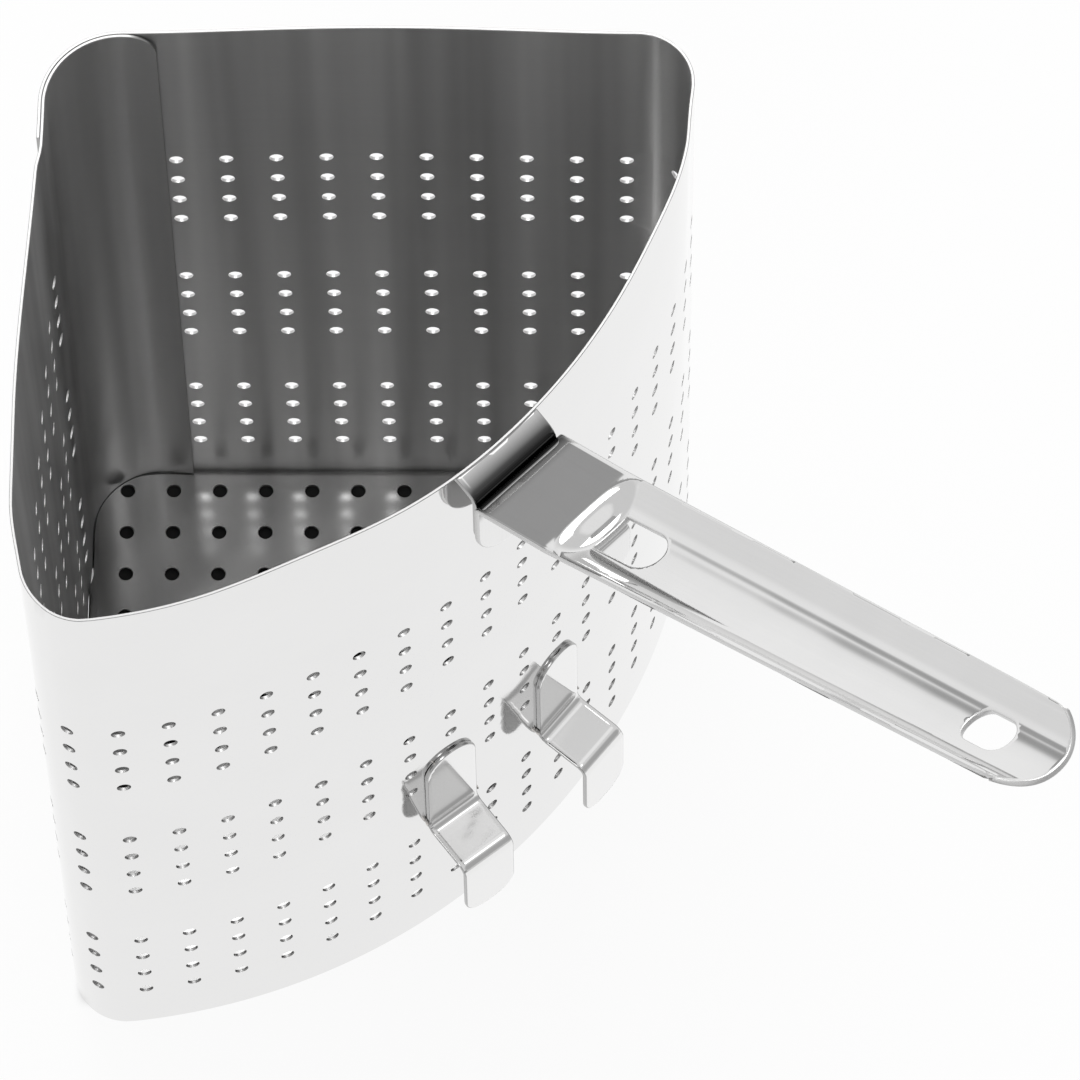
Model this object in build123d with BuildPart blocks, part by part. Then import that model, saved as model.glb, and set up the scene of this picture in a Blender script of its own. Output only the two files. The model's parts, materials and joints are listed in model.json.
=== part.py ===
"""Quarter strainer insert for a round pasta pot, pressed and welded from stainless sheet.

Four such inserts share one pot. The body is a perforated sheet wrapped round a quarter plan: two
flat walls, a curved front wall that follows the pot, rounded corners and a lapped seam at
the apex. A perforated pan closes the bottom. A bent bracket hangs the insert on the pot's rim, a
pressed handle with a lanced tongue rises from it, and two bent hooks stand off the front wall.

Frame: +X runs from the pot's axis through the handle, +Z is up, and the insert stands on z = 0.
The origin is at the foot of the front wall, in the middle of its thickness, below the handle.
All sizes are in millimetres and degrees.
"""
import os
from math import cos, hypot, radians, sin, sqrt

from build123d import *

# Body sheet
sheet = 0.8
body_height = 240.0
insert_angle = 90.0
front_radius = 164.0
wall_setback = 3.5
apex_radius = 20.0
corner_radius = 14.0

# Lapped seam at the apex
back_lap_end = 31.5
left_lap_end = 33.0
lap_corner_radius = 7.0

# Perforation of the walls, in bands of rows
hole_width = 3.5
hole_land = 0.3
column_pitch = 12.5
row_pitch = 10.35
rows_per_band = 4
band_count = 3
rows_left_plain = 2
first_row_height = 20.0
back_column_gap = 2.5
left_column_gap = 5.8
back_bend_gap = 11.8
left_bend_gap = 2.5

# Bottom pan
base_height = 2.5
base_bend = 1.2
pan_clearance = 0.15
plate_pitch = 12.25
plate_back_margin = 7.4
plate_left_margin = 10.6
plate_front_margin = 27.0

# Bracket that hangs on the pot's rim
bracket_sheet = 1.6
bracket_width = 27.0
rim_slot = 4.5
bracket_below_rim = 1.2
bracket_slope_drop = 2.8
bracket_knee_radius = 4.0
bracket_leg = 29.0
bracket_foot_radius = 12.5
weld_sink = 1.5

# Pressed handle
handle_sheet = 1.6
handle_width = 29.0
handle_tip_width = 25.0
flange_drop = 28.6
flange_foot_radius = 14.0
bend_below_rim = 5.4
handle_bend_radius = 2.6
base_length = 26.0
base_rise = 29.0
grip_length = 176.0
grip_rise = 30.5
grip_bend_radius = 20.0
trough_rim = 1.0
trough_depth = 4.5
trough_start_width = 17.0
trough_start_depth = 0.4
trough_ramp = 7.0
hang_hole_length = 14.5
hang_hole_width = 9.5
hang_hole_from_tip = 24.3

# Tongue lanced out of the trough and bent straight down
tongue_length = 19.0
tongue_slot_width = 11.0
tongue_clearance = 0.3
tongue_slot_gap = 0.5
tongue_bend_radius = 2.2
tongue_foot_radius = 4.8

# Lower hooks
hook_sheet = 1.5
hook_width = 15.5
hook_spacing_angle = 13.2
hook_top = 93.5
hook_strap_height = 57.5
hook_strap_fall = 1.5
hook_stand_off = 14.5
hook_lip_foot = 29.5
hook_bend_radius = 2.0
hook_top_radius = 7.6
hook_foot_radius = 6.5

# One overrun serves every cut that passes right through
overrun = 6.0

# Directions and planes that the pieces share
half_angle = radians(insert_angle) / 2
axis_x = sheet / 2 - front_radius
floor = Plane(origin=(axis_x, 0, 0))
side = Plane(origin=(axis_x, 0, 0), x_dir=(1, 0, 0), z_dir=(0, -1, 0))
band_pitch = (rows_per_band + rows_left_plain) * row_pitch
half_land = hole_width / 2 + hole_land
up = Vector(0, 0, 1)

os.makedirs("parts", exist_ok=True)


def finish(piece, name):
    """Labels a finished piece and writes its file."""
    piece.part.label = name
    export_step(piece.part, f"parts/{name}.step")


def along(hand, distance, depth=0.0):
    """A plan point at a distance out along one side of the quarter and a depth inside that side."""
    out = Vector(cos(half_angle), hand * sin(half_angle))
    inward = Vector(sin(half_angle), -hand * cos(half_angle))
    return out * distance + inward * depth


def on_edge(edge, share, depth=0.0):
    """The point at a share of an outline edge, set in from it by a depth."""
    tangent = edge % share
    inward = Vector(-tangent.Y, tangent.X)
    to_middle = Vector(axis_x + front_radius / 2, 0) - edge @ share
    if inward.dot(to_middle) < 0:
        inward = inward * -1
    return edge @ share + inward * depth


def rolled_edge(edge, depth, lands):
    """Draws an outline edge set in by a depth, flat across each land and curved as before between."""
    stops = [0, *(land + reach for land in lands for reach in (-half_land, half_land)), edge.length]
    for place in range(len(stops) - 1):
        middle = (stops[place] + stops[place + 1]) / 2
        distances = (stops[place], middle, stops[place + 1])
        points = [on_edge(edge, distance / edge.length, depth) for distance in distances]
        if place % 2 or edge.geom_type == GeomType.LINE:
            Line(points[0], points[-1])
        else:
            ThreePointArc(*points)


def ribbon(edge, depth, lands=()):
    """A face of sheet thickness along an outline edge, its outer side set in by a depth."""
    with BuildSketch() as face:
        with BuildLine():
            rolled_edge(edge, depth, lands)
            rolled_edge(edge, depth + sheet, lands)
            for share in (0, 1):
                Line(on_edge(edge, share, depth), on_edge(edge, share, depth + sheet))
        make_face()
    return face.sketch


def standing_plane(edge, share=0.5):
    """An upright plane that touches the outline from outside, its local y up the wall."""
    point = on_edge(edge, share)
    outward = (point - on_edge(edge, share, sheet)).normalized()
    return Plane(origin=point, x_dir=up.cross(outward), z_dir=outward)


def punch_columns(plane, columns, shift=0.0):
    """Punches every band of holes through the wall in front of a standing plane."""
    with BuildSketch(plane) as holes:
        for band in range(band_count):
            middle = first_row_height + band * band_pitch + (rows_per_band - 1) * row_pitch / 2
            with Locations((shift, middle)):
                with GridLocations(column_pitch, row_pitch, columns, rows_per_band):
                    Rectangle(hole_width, hole_width)
    extrude(holes.sketch, amount=overrun, both=True, mode=Mode.SUBTRACT)


def bent_strip(points, bends, thickness, width, plane=side):
    """Adds a bent strip whose visible face follows the points; the sheet lies to their right."""
    with BuildSketch(plane) as strip:
        with BuildLine():
            FilletPolyline(*points, radius=bends)
            offset(amount=thickness, side=Side.RIGHT)
        make_face()
    extrude(strip.sketch, amount=width / 2, both=True)


# Outline of the outer faces, seen from above
apex = (wall_setback / sin(half_angle), 0)
wall_reach = sqrt(front_radius**2 - wall_setback**2)
with BuildSketch(floor) as plan:
    with BuildLine():
        left_line = Line(apex, along(-1, wall_reach, wall_setback))
        back_line = Line(apex, along(1, wall_reach, wall_setback))
        ThreePointArc(left_line @ 1, (front_radius, 0), back_line @ 1)
    make_face()
    fillet(plan.vertices().sort_by(Axis.X)[0], apex_radius)
    fillet(plan.vertices().sort_by(Axis.X)[-2:], corner_radius)

plan_edges = plan.sketch.edges()
front_edge = plan_edges.sort_by(Axis.X)[-1]
apex_edge = plan_edges.sort_by(Axis.X)[0]
flat_edges = plan_edges.sort_by(Edge.length)[-3:-1].sort_by(Axis.Y)
bend_edges = plan_edges.sort_by(Edge.length)[:3].sort_by(Axis.Y)[::2]
sides = {"left": 0, "back": 1}
first_columns = {"left": left_lap_end + left_column_gap, "back": back_lap_end + back_column_gap}
bend_gaps = {"left": left_bend_gap, "back": back_bend_gap}

# Straight walls, with as many columns as fit between the lap and the corner's bend
last_column = sqrt((front_radius - corner_radius) ** 2 - (wall_setback + corner_radius) ** 2)
for name, place in sides.items():
    edge = flat_edges[place]
    first_column = first_columns[name]
    flat_columns = int((last_column - half_land - first_column) / column_pitch) + 1
    with BuildPart() as flat_wall:
        extrude(ribbon(edge, 0), amount=body_height)
        face_plane = standing_plane(edge)
        grid_middle = first_column + (flat_columns - 1) * column_pitch / 2
        grid_foot = floor.from_local_coords(along(2 * place - 1, grid_middle, wall_setback))
        punch_columns(face_plane, flat_columns, face_plane.to_local_coords(grid_foot).X)
    finish(flat_wall, f"{name}_wall")

# Curved front wall, rolled between its columns of holes and flat across each
with BuildPart() as front_wall:
    front_columns = int((front_edge.length - 2 * half_land) / column_pitch) + 1
    first_land = (front_edge.length - (front_columns - 1) * column_pitch) / 2
    lands = [first_land + index * column_pitch for index in range(front_columns)]
    extrude(ribbon(front_edge, 0, lands), amount=body_height)
    for land in lands:
        punch_columns(standing_plane(front_edge, land / front_edge.length), 1)
finish(front_wall, "front_wall")

# Corners where the straight walls run into the front wall, the columns counted from the wall
for name, place in sides.items():
    edge = bend_edges[place]
    bend_columns = int((edge.length - half_land - bend_gaps[name]) / column_pitch) + 1
    lands = [bend_gaps[name] + index * column_pitch for index in range(bend_columns)]
    if (edge @ 0).X > (edge @ 1).X:
        lands = [edge.length - land for land in reversed(lands)]
    with BuildPart() as corner_bend:
        extrude(ribbon(edge, 0, lands), amount=body_height)
        for land in lands:
            punch_columns(standing_plane(edge, land / edge.length), 1)
    finish(corner_bend, f"{name}_corner_bend")

# Outer layer of the apex
with BuildPart() as apex_bend:
    extrude(ribbon(apex_edge, 0), amount=body_height)
finish(apex_bend, "apex_bend")

# Inner layer of the apex, the lapped end of the wrapped sheet
with BuildPart() as apex_lap:
    with BuildSketch(floor.offset(base_height)):
        offset(plan.sketch_local, amount=-sheet)
        offset(plan.sketch_local, amount=-2 * sheet, mode=Mode.SUBTRACT)
    extrude(amount=body_height - base_height)
    with BuildSketch(floor.offset(base_height)):
        with BuildLine():
            Polyline(
                along(1, 0, -overrun),
                along(1, back_lap_end, -overrun),
                along(1, back_lap_end, wall_setback + overrun),
                along(-1, left_lap_end, wall_setback + overrun),
                along(-1, left_lap_end, -overrun),
                along(-1, 0, -overrun),
                close=True,
            )
        make_face()
    extrude(amount=body_height, mode=Mode.INTERSECT)
    fillet(apex_lap.edges().group_by(Axis.Z)[-1].sort_by(Axis.Y)[-1], lap_corner_radius)
finish(apex_lap, "apex_lap")

# Bottom pan with its edge turned down, spot-welded inside the walls
with BuildPart() as bottom_pan:
    with BuildSketch(floor):
        offset(plan.sketch_local, amount=-sheet - pan_clearance)
    extrude(amount=base_height)
    chamfer(bottom_pan.edges().group_by(Axis.Z)[-1], base_bend)
    with BuildSketch(floor):
        offset(plan.sketch_local, amount=-2 * sheet - pan_clearance)
    extrude(amount=base_height - sheet, mode=Mode.SUBTRACT)
    plate_last = front_radius - plate_front_margin
    margins = (plate_back_margin, plate_left_margin)
    grid_lines = []
    for margin in margins:
        first = wall_setback + margin
        count = int((plate_last - first) / plate_pitch) + 1
        grid_lines.append([first + index * plate_pitch for index in range(count)])
    spots = [(x, y) for x in grid_lines[0] for y in grid_lines[1] if hypot(x, y) < plate_last]
    grid_plane = Plane(
        origin=floor.origin, x_dir=(cos(half_angle), -sin(half_angle), 0), z_dir=(0, 0, 1)
    )
    with BuildSketch(grid_plane):
        with Locations(*spots):
            Rectangle(hole_width, hole_width)
    extrude(amount=overrun, mode=Mode.SUBTRACT)
finish(bottom_pan, "bottom_pan")

# Rim bracket: a sloped top welded to the wall and a leg outside the pot's rim
bracket_top = body_height - bracket_below_rim
bracket_out = front_radius + rim_slot + bracket_sheet
knee = bracket_top - bracket_slope_drop
slope = bracket_slope_drop / (rim_slot + bracket_sheet)
with BuildPart() as rim_bracket:
    bent_strip(
        [
            (front_radius - weld_sink, bracket_top + weld_sink * slope),
            (bracket_out, knee),
            (bracket_out, knee - bracket_leg),
        ],
        bracket_knee_radius,
        bracket_sheet,
        bracket_width,
    )
    fillet(rim_bracket.edges().filter_by(Axis.X).group_by(Axis.Z)[0], bracket_foot_radius)
    with BuildSketch(floor):
        Circle(front_radius)
    extrude(amount=body_height + overrun, mode=Mode.SUBTRACT)
finish(rim_bracket, "rim_bracket")

# Handle: a flange on the bracket, a flat base, and a troughed grip cut round at its tip
bend_corner = (bracket_out, body_height - bend_below_rim)
rise = radians(base_rise)
base_end = (
    bend_corner[0] + base_length * cos(rise),
    bend_corner[1] + base_length * sin(rise),
)
tilt = radians(grip_rise)
grip_end = (base_end[0] + grip_length * cos(tilt), base_end[1] + grip_length * sin(tilt))
grip = Plane(
    origin=side.from_local_coords(Vector(*base_end)),
    x_dir=(cos(tilt), 0, sin(tilt)),
    z_dir=(-sin(tilt), 0, cos(tilt)),
)
trough_width = handle_tip_width - 2 * trough_rim


def trough_face(distance, width, depth, wall=0.0):
    """A trough section at a distance along the grip; a wall thickness gives its outer skin."""
    radius = (width**2 / 4 + depth**2) / (2 * depth)
    centre = radius - depth
    half = sqrt((radius + wall) ** 2 - (centre + wall) ** 2)
    section = Plane(
        origin=grip.from_local_coords(Vector(distance, 0, 0)), x_dir=(0, 1, 0), z_dir=grip.x_dir
    )
    with BuildSketch(section) as face:
        with BuildLine():
            ThreePointArc((-half, -wall), (0, -depth - wall), (half, -wall))
            Line((half, -wall), (-half, -wall))
        make_face()
    return face.sketch


def trough_body(wall=0.0):
    """The pressed trough: a ramp from a shallow start, then one section to past the tip."""
    start = trough_face(0, trough_start_width, trough_start_depth, wall)
    ramp_end = trough_face(trough_ramp, trough_width, trough_depth, wall)
    with BuildPart(mode=Mode.PRIVATE) as body:
        loft([start.face(), ramp_end.face()])
        extrude(ramp_end, amount=grip_length - trough_ramp + overrun, dir=grip.x_dir)
    return body.part


with BuildPart() as handle:
    bent_strip(
        [(bend_corner[0], bend_corner[1] - flange_drop), bend_corner, base_end, grip_end],
        [handle_bend_radius, grip_bend_radius],
        handle_sheet,
        handle_width,
    )
    fillet(handle.edges().filter_by(Axis.X).group_by(Axis.Z)[0], flange_foot_radius)
    add(trough_body(handle_sheet))
    add(trough_body(), mode=Mode.SUBTRACT)

    tip_centre = grip_length - handle_tip_width / 2
    with BuildSketch(grip.offset(-trough_depth - handle_sheet)) as outline:
        with BuildLine():
            Line((0, -handle_width / 2), (0, handle_width / 2))
            CenterArc((tip_centre, 0), handle_tip_width / 2, 0, 360)
        make_hull()
    with BuildSketch(grip.offset(-trough_depth - handle_sheet)) as trimming:
        with Locations(((grip_length + overrun) / 2, 0)):
            Rectangle(grip_length + overrun, handle_width + overrun)
        add(outline.sketch_local, mode=Mode.SUBTRACT)
    extrude(trimming.sketch, amount=trough_depth + handle_sheet + overrun, mode=Mode.SUBTRACT)

    slot_start = trough_ramp + tongue_slot_gap
    round_end = slot_start + tongue_length - tongue_slot_width / 2
    with BuildSketch(grip):
        with Locations(((slot_start + round_end) / 2, 0)):
            Rectangle(round_end - slot_start, tongue_slot_width)
        with Locations((round_end, 0)):
            Circle(tongue_slot_width / 2)
        with Locations((grip_length - hang_hole_from_tip, 0)):
            SlotOverall(hang_hole_length, hang_hole_width)
    extrude(amount=-trough_depth - overrun, mode=Mode.SUBTRACT)

    root = side.to_local_coords(grip.from_local_coords(Vector(slot_start, 0, -trough_depth)))
    drawn_in = Vector(cos(tilt), sin(tilt)) * (trough_ramp / 3)
    bent_strip(
        [
            (root.X - drawn_in.X, root.Y - drawn_in.Y),
            (root.X + drawn_in.X, root.Y + drawn_in.Y),
            (root.X + drawn_in.X, root.Y + drawn_in.Y - tongue_length),
        ],
        tongue_bend_radius,
        handle_sheet,
        tongue_slot_width - 2 * tongue_clearance,
    )
    tongue_edges = handle.edges().filter_by(Axis.X).filter_by(
        lambda edge: abs(edge.length - handle_sheet) < trough_start_depth
        and edge.center().X > bend_corner[0] - front_radius + handle_sheet
    )
    fillet(tongue_edges.group_by(Axis.Z)[0], tongue_foot_radius)
finish(handle, "handle")

# Lower hooks: a round-topped tab welded to the wall, a strap outward and a lip down
hook_seat = front_radius - sqrt(front_radius**2 - hook_width**2 / 4)
hook_face = front_radius - hook_seat + hook_sheet
hook_out = front_radius + hook_stand_off + hook_sheet
for name, hand in {"left": -1, "right": 1}.items():
    azimuth = radians(hand * hook_spacing_angle / 2)
    hook_plane = Plane(
        origin=floor.origin,
        x_dir=(cos(azimuth), sin(azimuth), 0),
        z_dir=(sin(azimuth), -cos(azimuth), 0),
    )
    with BuildPart() as hook:
        bent_strip(
            [
                (hook_face, hook_top),
                (hook_face, hook_strap_height),
                (hook_out, hook_strap_height - hook_strap_fall),
                (hook_out, hook_lip_foot),
            ],
            [hook_bend_radius, hook_bend_radius + hook_sheet],
            hook_sheet,
            hook_width,
            hook_plane,
        )
        across = hook.edges().filter_by(Axis(floor.origin, hook_plane.x_dir)).group_by(Axis.Z)
        fillet(across[-1], hook_top_radius)
        across = hook.edges().filter_by(Axis(floor.origin, hook_plane.x_dir)).group_by(Axis.Z)
        fillet(across[0], hook_foot_radius)
        with BuildSketch(floor):
            Circle(front_radius)
        extrude(amount=body_height, mode=Mode.SUBTRACT)
    finish(hook, f"lower_hook_{name}")
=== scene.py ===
"""Looks of a quarter strainer insert for a pasta pot: wrapped perforated wall, pan, bracket, handle and hooks.

Every size is in millimetres, in the frame of the solids, and becomes metres only when a mesh is built. Sheet parts
start as flat blanks with their holes, and are then bent into place, as the real ones are.
"""

import json
import logging
import math
from bisect import bisect_left
from collections import Counter
from dataclasses import dataclass, field
from enum import Enum, IntEnum
from typing import Any, Callable, Dict, List, Optional, Sequence, Tuple, Union

import bpy
from mathutils import Matrix, Vector
from mathutils.geometry import delaunay_2d_cdt

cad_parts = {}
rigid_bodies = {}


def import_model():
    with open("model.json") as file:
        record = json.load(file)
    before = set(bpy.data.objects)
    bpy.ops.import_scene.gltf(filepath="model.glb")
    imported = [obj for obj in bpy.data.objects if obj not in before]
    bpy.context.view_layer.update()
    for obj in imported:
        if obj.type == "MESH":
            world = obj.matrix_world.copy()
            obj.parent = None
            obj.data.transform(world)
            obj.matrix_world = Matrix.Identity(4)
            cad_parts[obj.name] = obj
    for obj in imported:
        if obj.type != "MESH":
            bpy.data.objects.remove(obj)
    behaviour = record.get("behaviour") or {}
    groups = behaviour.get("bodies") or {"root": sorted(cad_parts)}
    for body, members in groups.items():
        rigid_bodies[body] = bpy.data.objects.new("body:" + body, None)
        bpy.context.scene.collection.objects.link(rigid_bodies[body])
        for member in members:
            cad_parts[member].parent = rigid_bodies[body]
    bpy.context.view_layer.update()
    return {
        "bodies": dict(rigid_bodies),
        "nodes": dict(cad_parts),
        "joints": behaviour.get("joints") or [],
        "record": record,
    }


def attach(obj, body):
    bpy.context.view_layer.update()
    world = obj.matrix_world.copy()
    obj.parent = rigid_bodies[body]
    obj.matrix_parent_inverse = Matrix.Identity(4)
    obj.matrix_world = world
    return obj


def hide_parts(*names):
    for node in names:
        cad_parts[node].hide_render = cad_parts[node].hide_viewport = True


LOG = logging.getLogger("strainer_insert")
METRES = 0.001  # one millimetre
CLOSE = 1e-9  # stops that lie nearer than this are one
DIGITS = 5  # to which stops on the sheet are rounded

Pair = Tuple[float, float]
Triple = Tuple[float, float, float]
Surface = Callable[[float, float], Vector]


class Slot(Enum):
    """Material slots of the record."""

    POLISHED = "polished_sheet"
    BRUSHED = "brushed_sheet"
    PRESSED = "pressed_steel"


class Side(Enum):
    """The two sides of the quarter, as signs of Y."""

    BACK = 1
    LEFT = -1


class Part(IntEnum):
    """The parts of the wrapped sheet, in order from its outer end."""

    OUTER_END = 0
    OUTER_APEX = 1
    BACK = 2
    BACK_CORNER = 3
    FRONT = 4
    LEFT_CORNER = 5
    LEFT = 6
    INNER_APEX = 7
    INNER_END = 8


class WallLook(IntEnum):
    """The wall's finishes, by their place among its materials."""

    OUTER = 0
    INNER = 1
    CUT = 2
    RIM = 3


# Shader values


class Value:
    """A shader socket that takes part in Python arithmetic."""

    def __init__(self, tree: "Tree", socket: bpy.types.NodeSocket) -> None:
        """Keeps the socket and the tree that it belongs to."""
        self.tree = tree
        self.socket = socket

    def _maths(self, operation: str, *others: Union["Value", float], turned: bool = False) -> "Value":
        """Adds a Math node.

        Args:
            operation: the node's operation.
            others: the other operands.
            turned: puts the first of the others before this value.

        Returns:
            The node's result.
        """
        operands: List[Union[Value, float]] = [self, *others]
        if turned:
            operands = [others[0], self]
        return self.tree.value("ShaderNodeMath", "Value", {"operation": operation}, dict(enumerate(operands)))

    def __add__(self, other: Union["Value", float]) -> "Value":
        """Adds."""
        return self._maths("ADD", other)

    __radd__ = __add__

    def __mul__(self, other: Union["Value", float]) -> "Value":
        """Multiplies."""
        return self._maths("MULTIPLY", other)

    __rmul__ = __mul__

    def __sub__(self, other: Union["Value", float]) -> "Value":
        """Subtracts."""
        return self._maths("SUBTRACT", other)

    def __rsub__(self, other: float) -> "Value":
        """Subtracts this value from a number."""
        return self._maths("SUBTRACT", other, turned=True)

    def __truediv__(self, other: Union["Value", float]) -> "Value":
        """Divides."""
        return self._maths("DIVIDE", other)

    def to_power(self, other: float) -> "Value":
        """Raises to a power."""
        return self._maths("POWER", other)

    def at_least(self, other: Union["Value", float]) -> "Value":
        """The larger of two values."""
        return self._maths("MAXIMUM", other)

    def at_most(self, other: Union["Value", float]) -> "Value":
        """The smaller of two values."""
        return self._maths("MINIMUM", other)

    def size(self) -> "Value":
        """The value without its sign."""
        return self._maths("ABSOLUTE")

    def smooth(self, low: float, high: float) -> "Value":
        """Goes softly from 0 at one value to 1 at another.

        Args:
            low: where the result is 0.
            high: where the result is 1.

        Returns:
            The eased value.
        """
        settings = {"interpolation_type": "SMOOTHSTEP"}
        limits = {"Value": self, "From Min": low, "From Max": high}
        return self.tree.value("ShaderNodeMapRange", "Result", settings, limits)


class Tree:
    """Adds nodes to a material or world and hands their sockets back as values."""

    def __init__(self, owner: Union[bpy.types.Material, bpy.types.World]) -> None:
        """Empties the owner's node tree and takes it over."""
        owner.use_nodes = True
        self.nodes = owner.node_tree.nodes
        self.links = owner.node_tree.links
        self.nodes.clear()

    def add(
        self,
        kind: str,
        settings: Optional[Dict[str, Any]] = None,
        sockets: Optional[Dict[Union[str, int], Any]] = None,
    ) -> bpy.types.Node:
        """Adds a node, sets it up and fills its sockets.

        Args:
            kind: the node's type.
            settings: its own settings, with the stops of a ramp under "stops".
            sockets: numbers, colours or values for its sockets, by name or place.

        Returns:
            The node.
        """
        node = self.nodes.new(kind)
        for name, setting in (settings or {}).items():
            if name != "stops":
                setattr(node, name, setting)
                continue
            ramp = node.color_ramp
            while len(ramp.elements) < len(setting):
                ramp.elements.new(1.0)
            for element, (place, shade) in zip(ramp.elements, setting):
                element.position = place
                element.color = (shade, shade, shade, 1.0)
        for name, filling in (sockets or {}).items():
            if isinstance(filling, Value):
                self.links.new(filling.socket, node.inputs[name])
            elif filling is not None:
                node.inputs[name].default_value = filling
        return node

    def value(
        self,
        kind: str,
        output: Union[str, int],
        settings: Optional[Dict[str, Any]] = None,
        sockets: Optional[Dict[Union[str, int], Any]] = None,
    ) -> Value:
        """Adds a node and returns one of its outputs.

        Args:
            kind: the node's type.
            output: the output's name or place.
            settings: its own settings.
            sockets: what its sockets get.

        Returns:
            The output as a value.
        """
        return Value(self, self.add(kind, settings, sockets).outputs[output])

    def place(self) -> Value:
        """The point's place in metres, in the frame of the solids."""
        return self.value("ShaderNodeTexCoord", "Object")

    def axis(self, vector: Value, name: str) -> Value:
        """One axis of a vector.

        Args:
            vector: the vector.
            name: X, Y or Z.

        Returns:
            That axis as a number.
        """
        return self.value("ShaderNodeSeparateXYZ", name, None, {"Vector": vector})

    def stretched(self, vector: Value, scale: Triple) -> Value:
        """A vector with each axis scaled on its own.

        Args:
            vector: the vector.
            scale: a factor for each axis.

        Returns:
            The scaled vector.
        """
        return self.value("ShaderNodeVectorMath", "Vector", {"operation": "MULTIPLY"}, {0: vector, 1: scale})

    def facing(self, vector: Value, direction: Triple) -> Value:
        """How far a unit vector points one way.

        Args:
            vector: the unit vector.
            direction: the way, of any length.

        Returns:
            The cosine of the angle between them.
        """
        unit = tuple(Vector(direction).normalized())
        return self.value("ShaderNodeVectorMath", "Value", {"operation": "DOT_PRODUCT"}, {0: vector, 1: unit})

    def noise(self, vector: Value, scale: float, detail: float = 2.0, roughness: float = 0.5) -> Value:
        """Smooth noise from 0 to 1.

        Args:
            vector: where it is read.
            scale: how many features fit in a metre.
            detail: how many finer layers lie over it.
            roughness: how strong those are.

        Returns:
            The noise.
        """
        sockets = {"Vector": vector, "Scale": scale, "Detail": detail, "Roughness": roughness}
        return self.value("ShaderNodeTexNoise", "Fac", None, sockets)

    def blend(self, share: Union[Value, float], first: Any, second: Any) -> Value:
        """Mixes two colours.

        Args:
            share: how much of the second.
            first: a colour or value.
            second: a colour or value.

        Returns:
            The mixed colour.
        """
        return self.value("ShaderNodeMix", 2, {"data_type": "RGBA"}, {0: share, 6: first, 7: second})

    def bump(self, height: Value, depth: float, strength: float, under: Optional[Value] = None) -> Value:
        """Raises fine relief.

        Args:
            height: the relief, from 0 to 1.
            depth: how high it stands, in metres.
            strength: how much of it shows.
            under: a coarser relief below it.

        Returns:
            The bent normal.
        """
        sockets = {"Height": height, "Distance": depth, "Strength": strength, "Normal": under}
        return self.value("ShaderNodeBump", "Normal", None, sockets)

    def metal(self, tint: Value, roughness: Value, normal: Value, drawn: float = 0.0, glancing: float = 1.0) -> None:
        """Ends the tree in bare metal.

        Args:
            tint: its colour.
            roughness: its roughness.
            normal: its normal.
            drawn: how far a level grain draws reflections out up and down.
            glancing: how bright it stays when seen edge on.
        """
        sockets = {"Base Color": tint, "Roughness": roughness, "Normal": normal, "Metallic": 1.0}
        sockets.update({"Anisotropic": drawn, "Anisotropic Rotation": 0.25, "Specular Tint": grey(glancing)})
        shader = self.value("ShaderNodeBsdfPrincipled", "BSDF", None, sockets)
        self.add("ShaderNodeOutputMaterial", None, {"Surface": shader})


def grey(level: float, warmth: float = 0.0) -> Tuple[float, float, float, float]:
    """A near-neutral colour.

    Args:
        level: its linear brightness.
        warmth: how much red is above blue.

    Returns:
        The colour.
    """
    return (level * (1 + warmth), level, level * (1 - warmth), 1.0)


# Finishes


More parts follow.
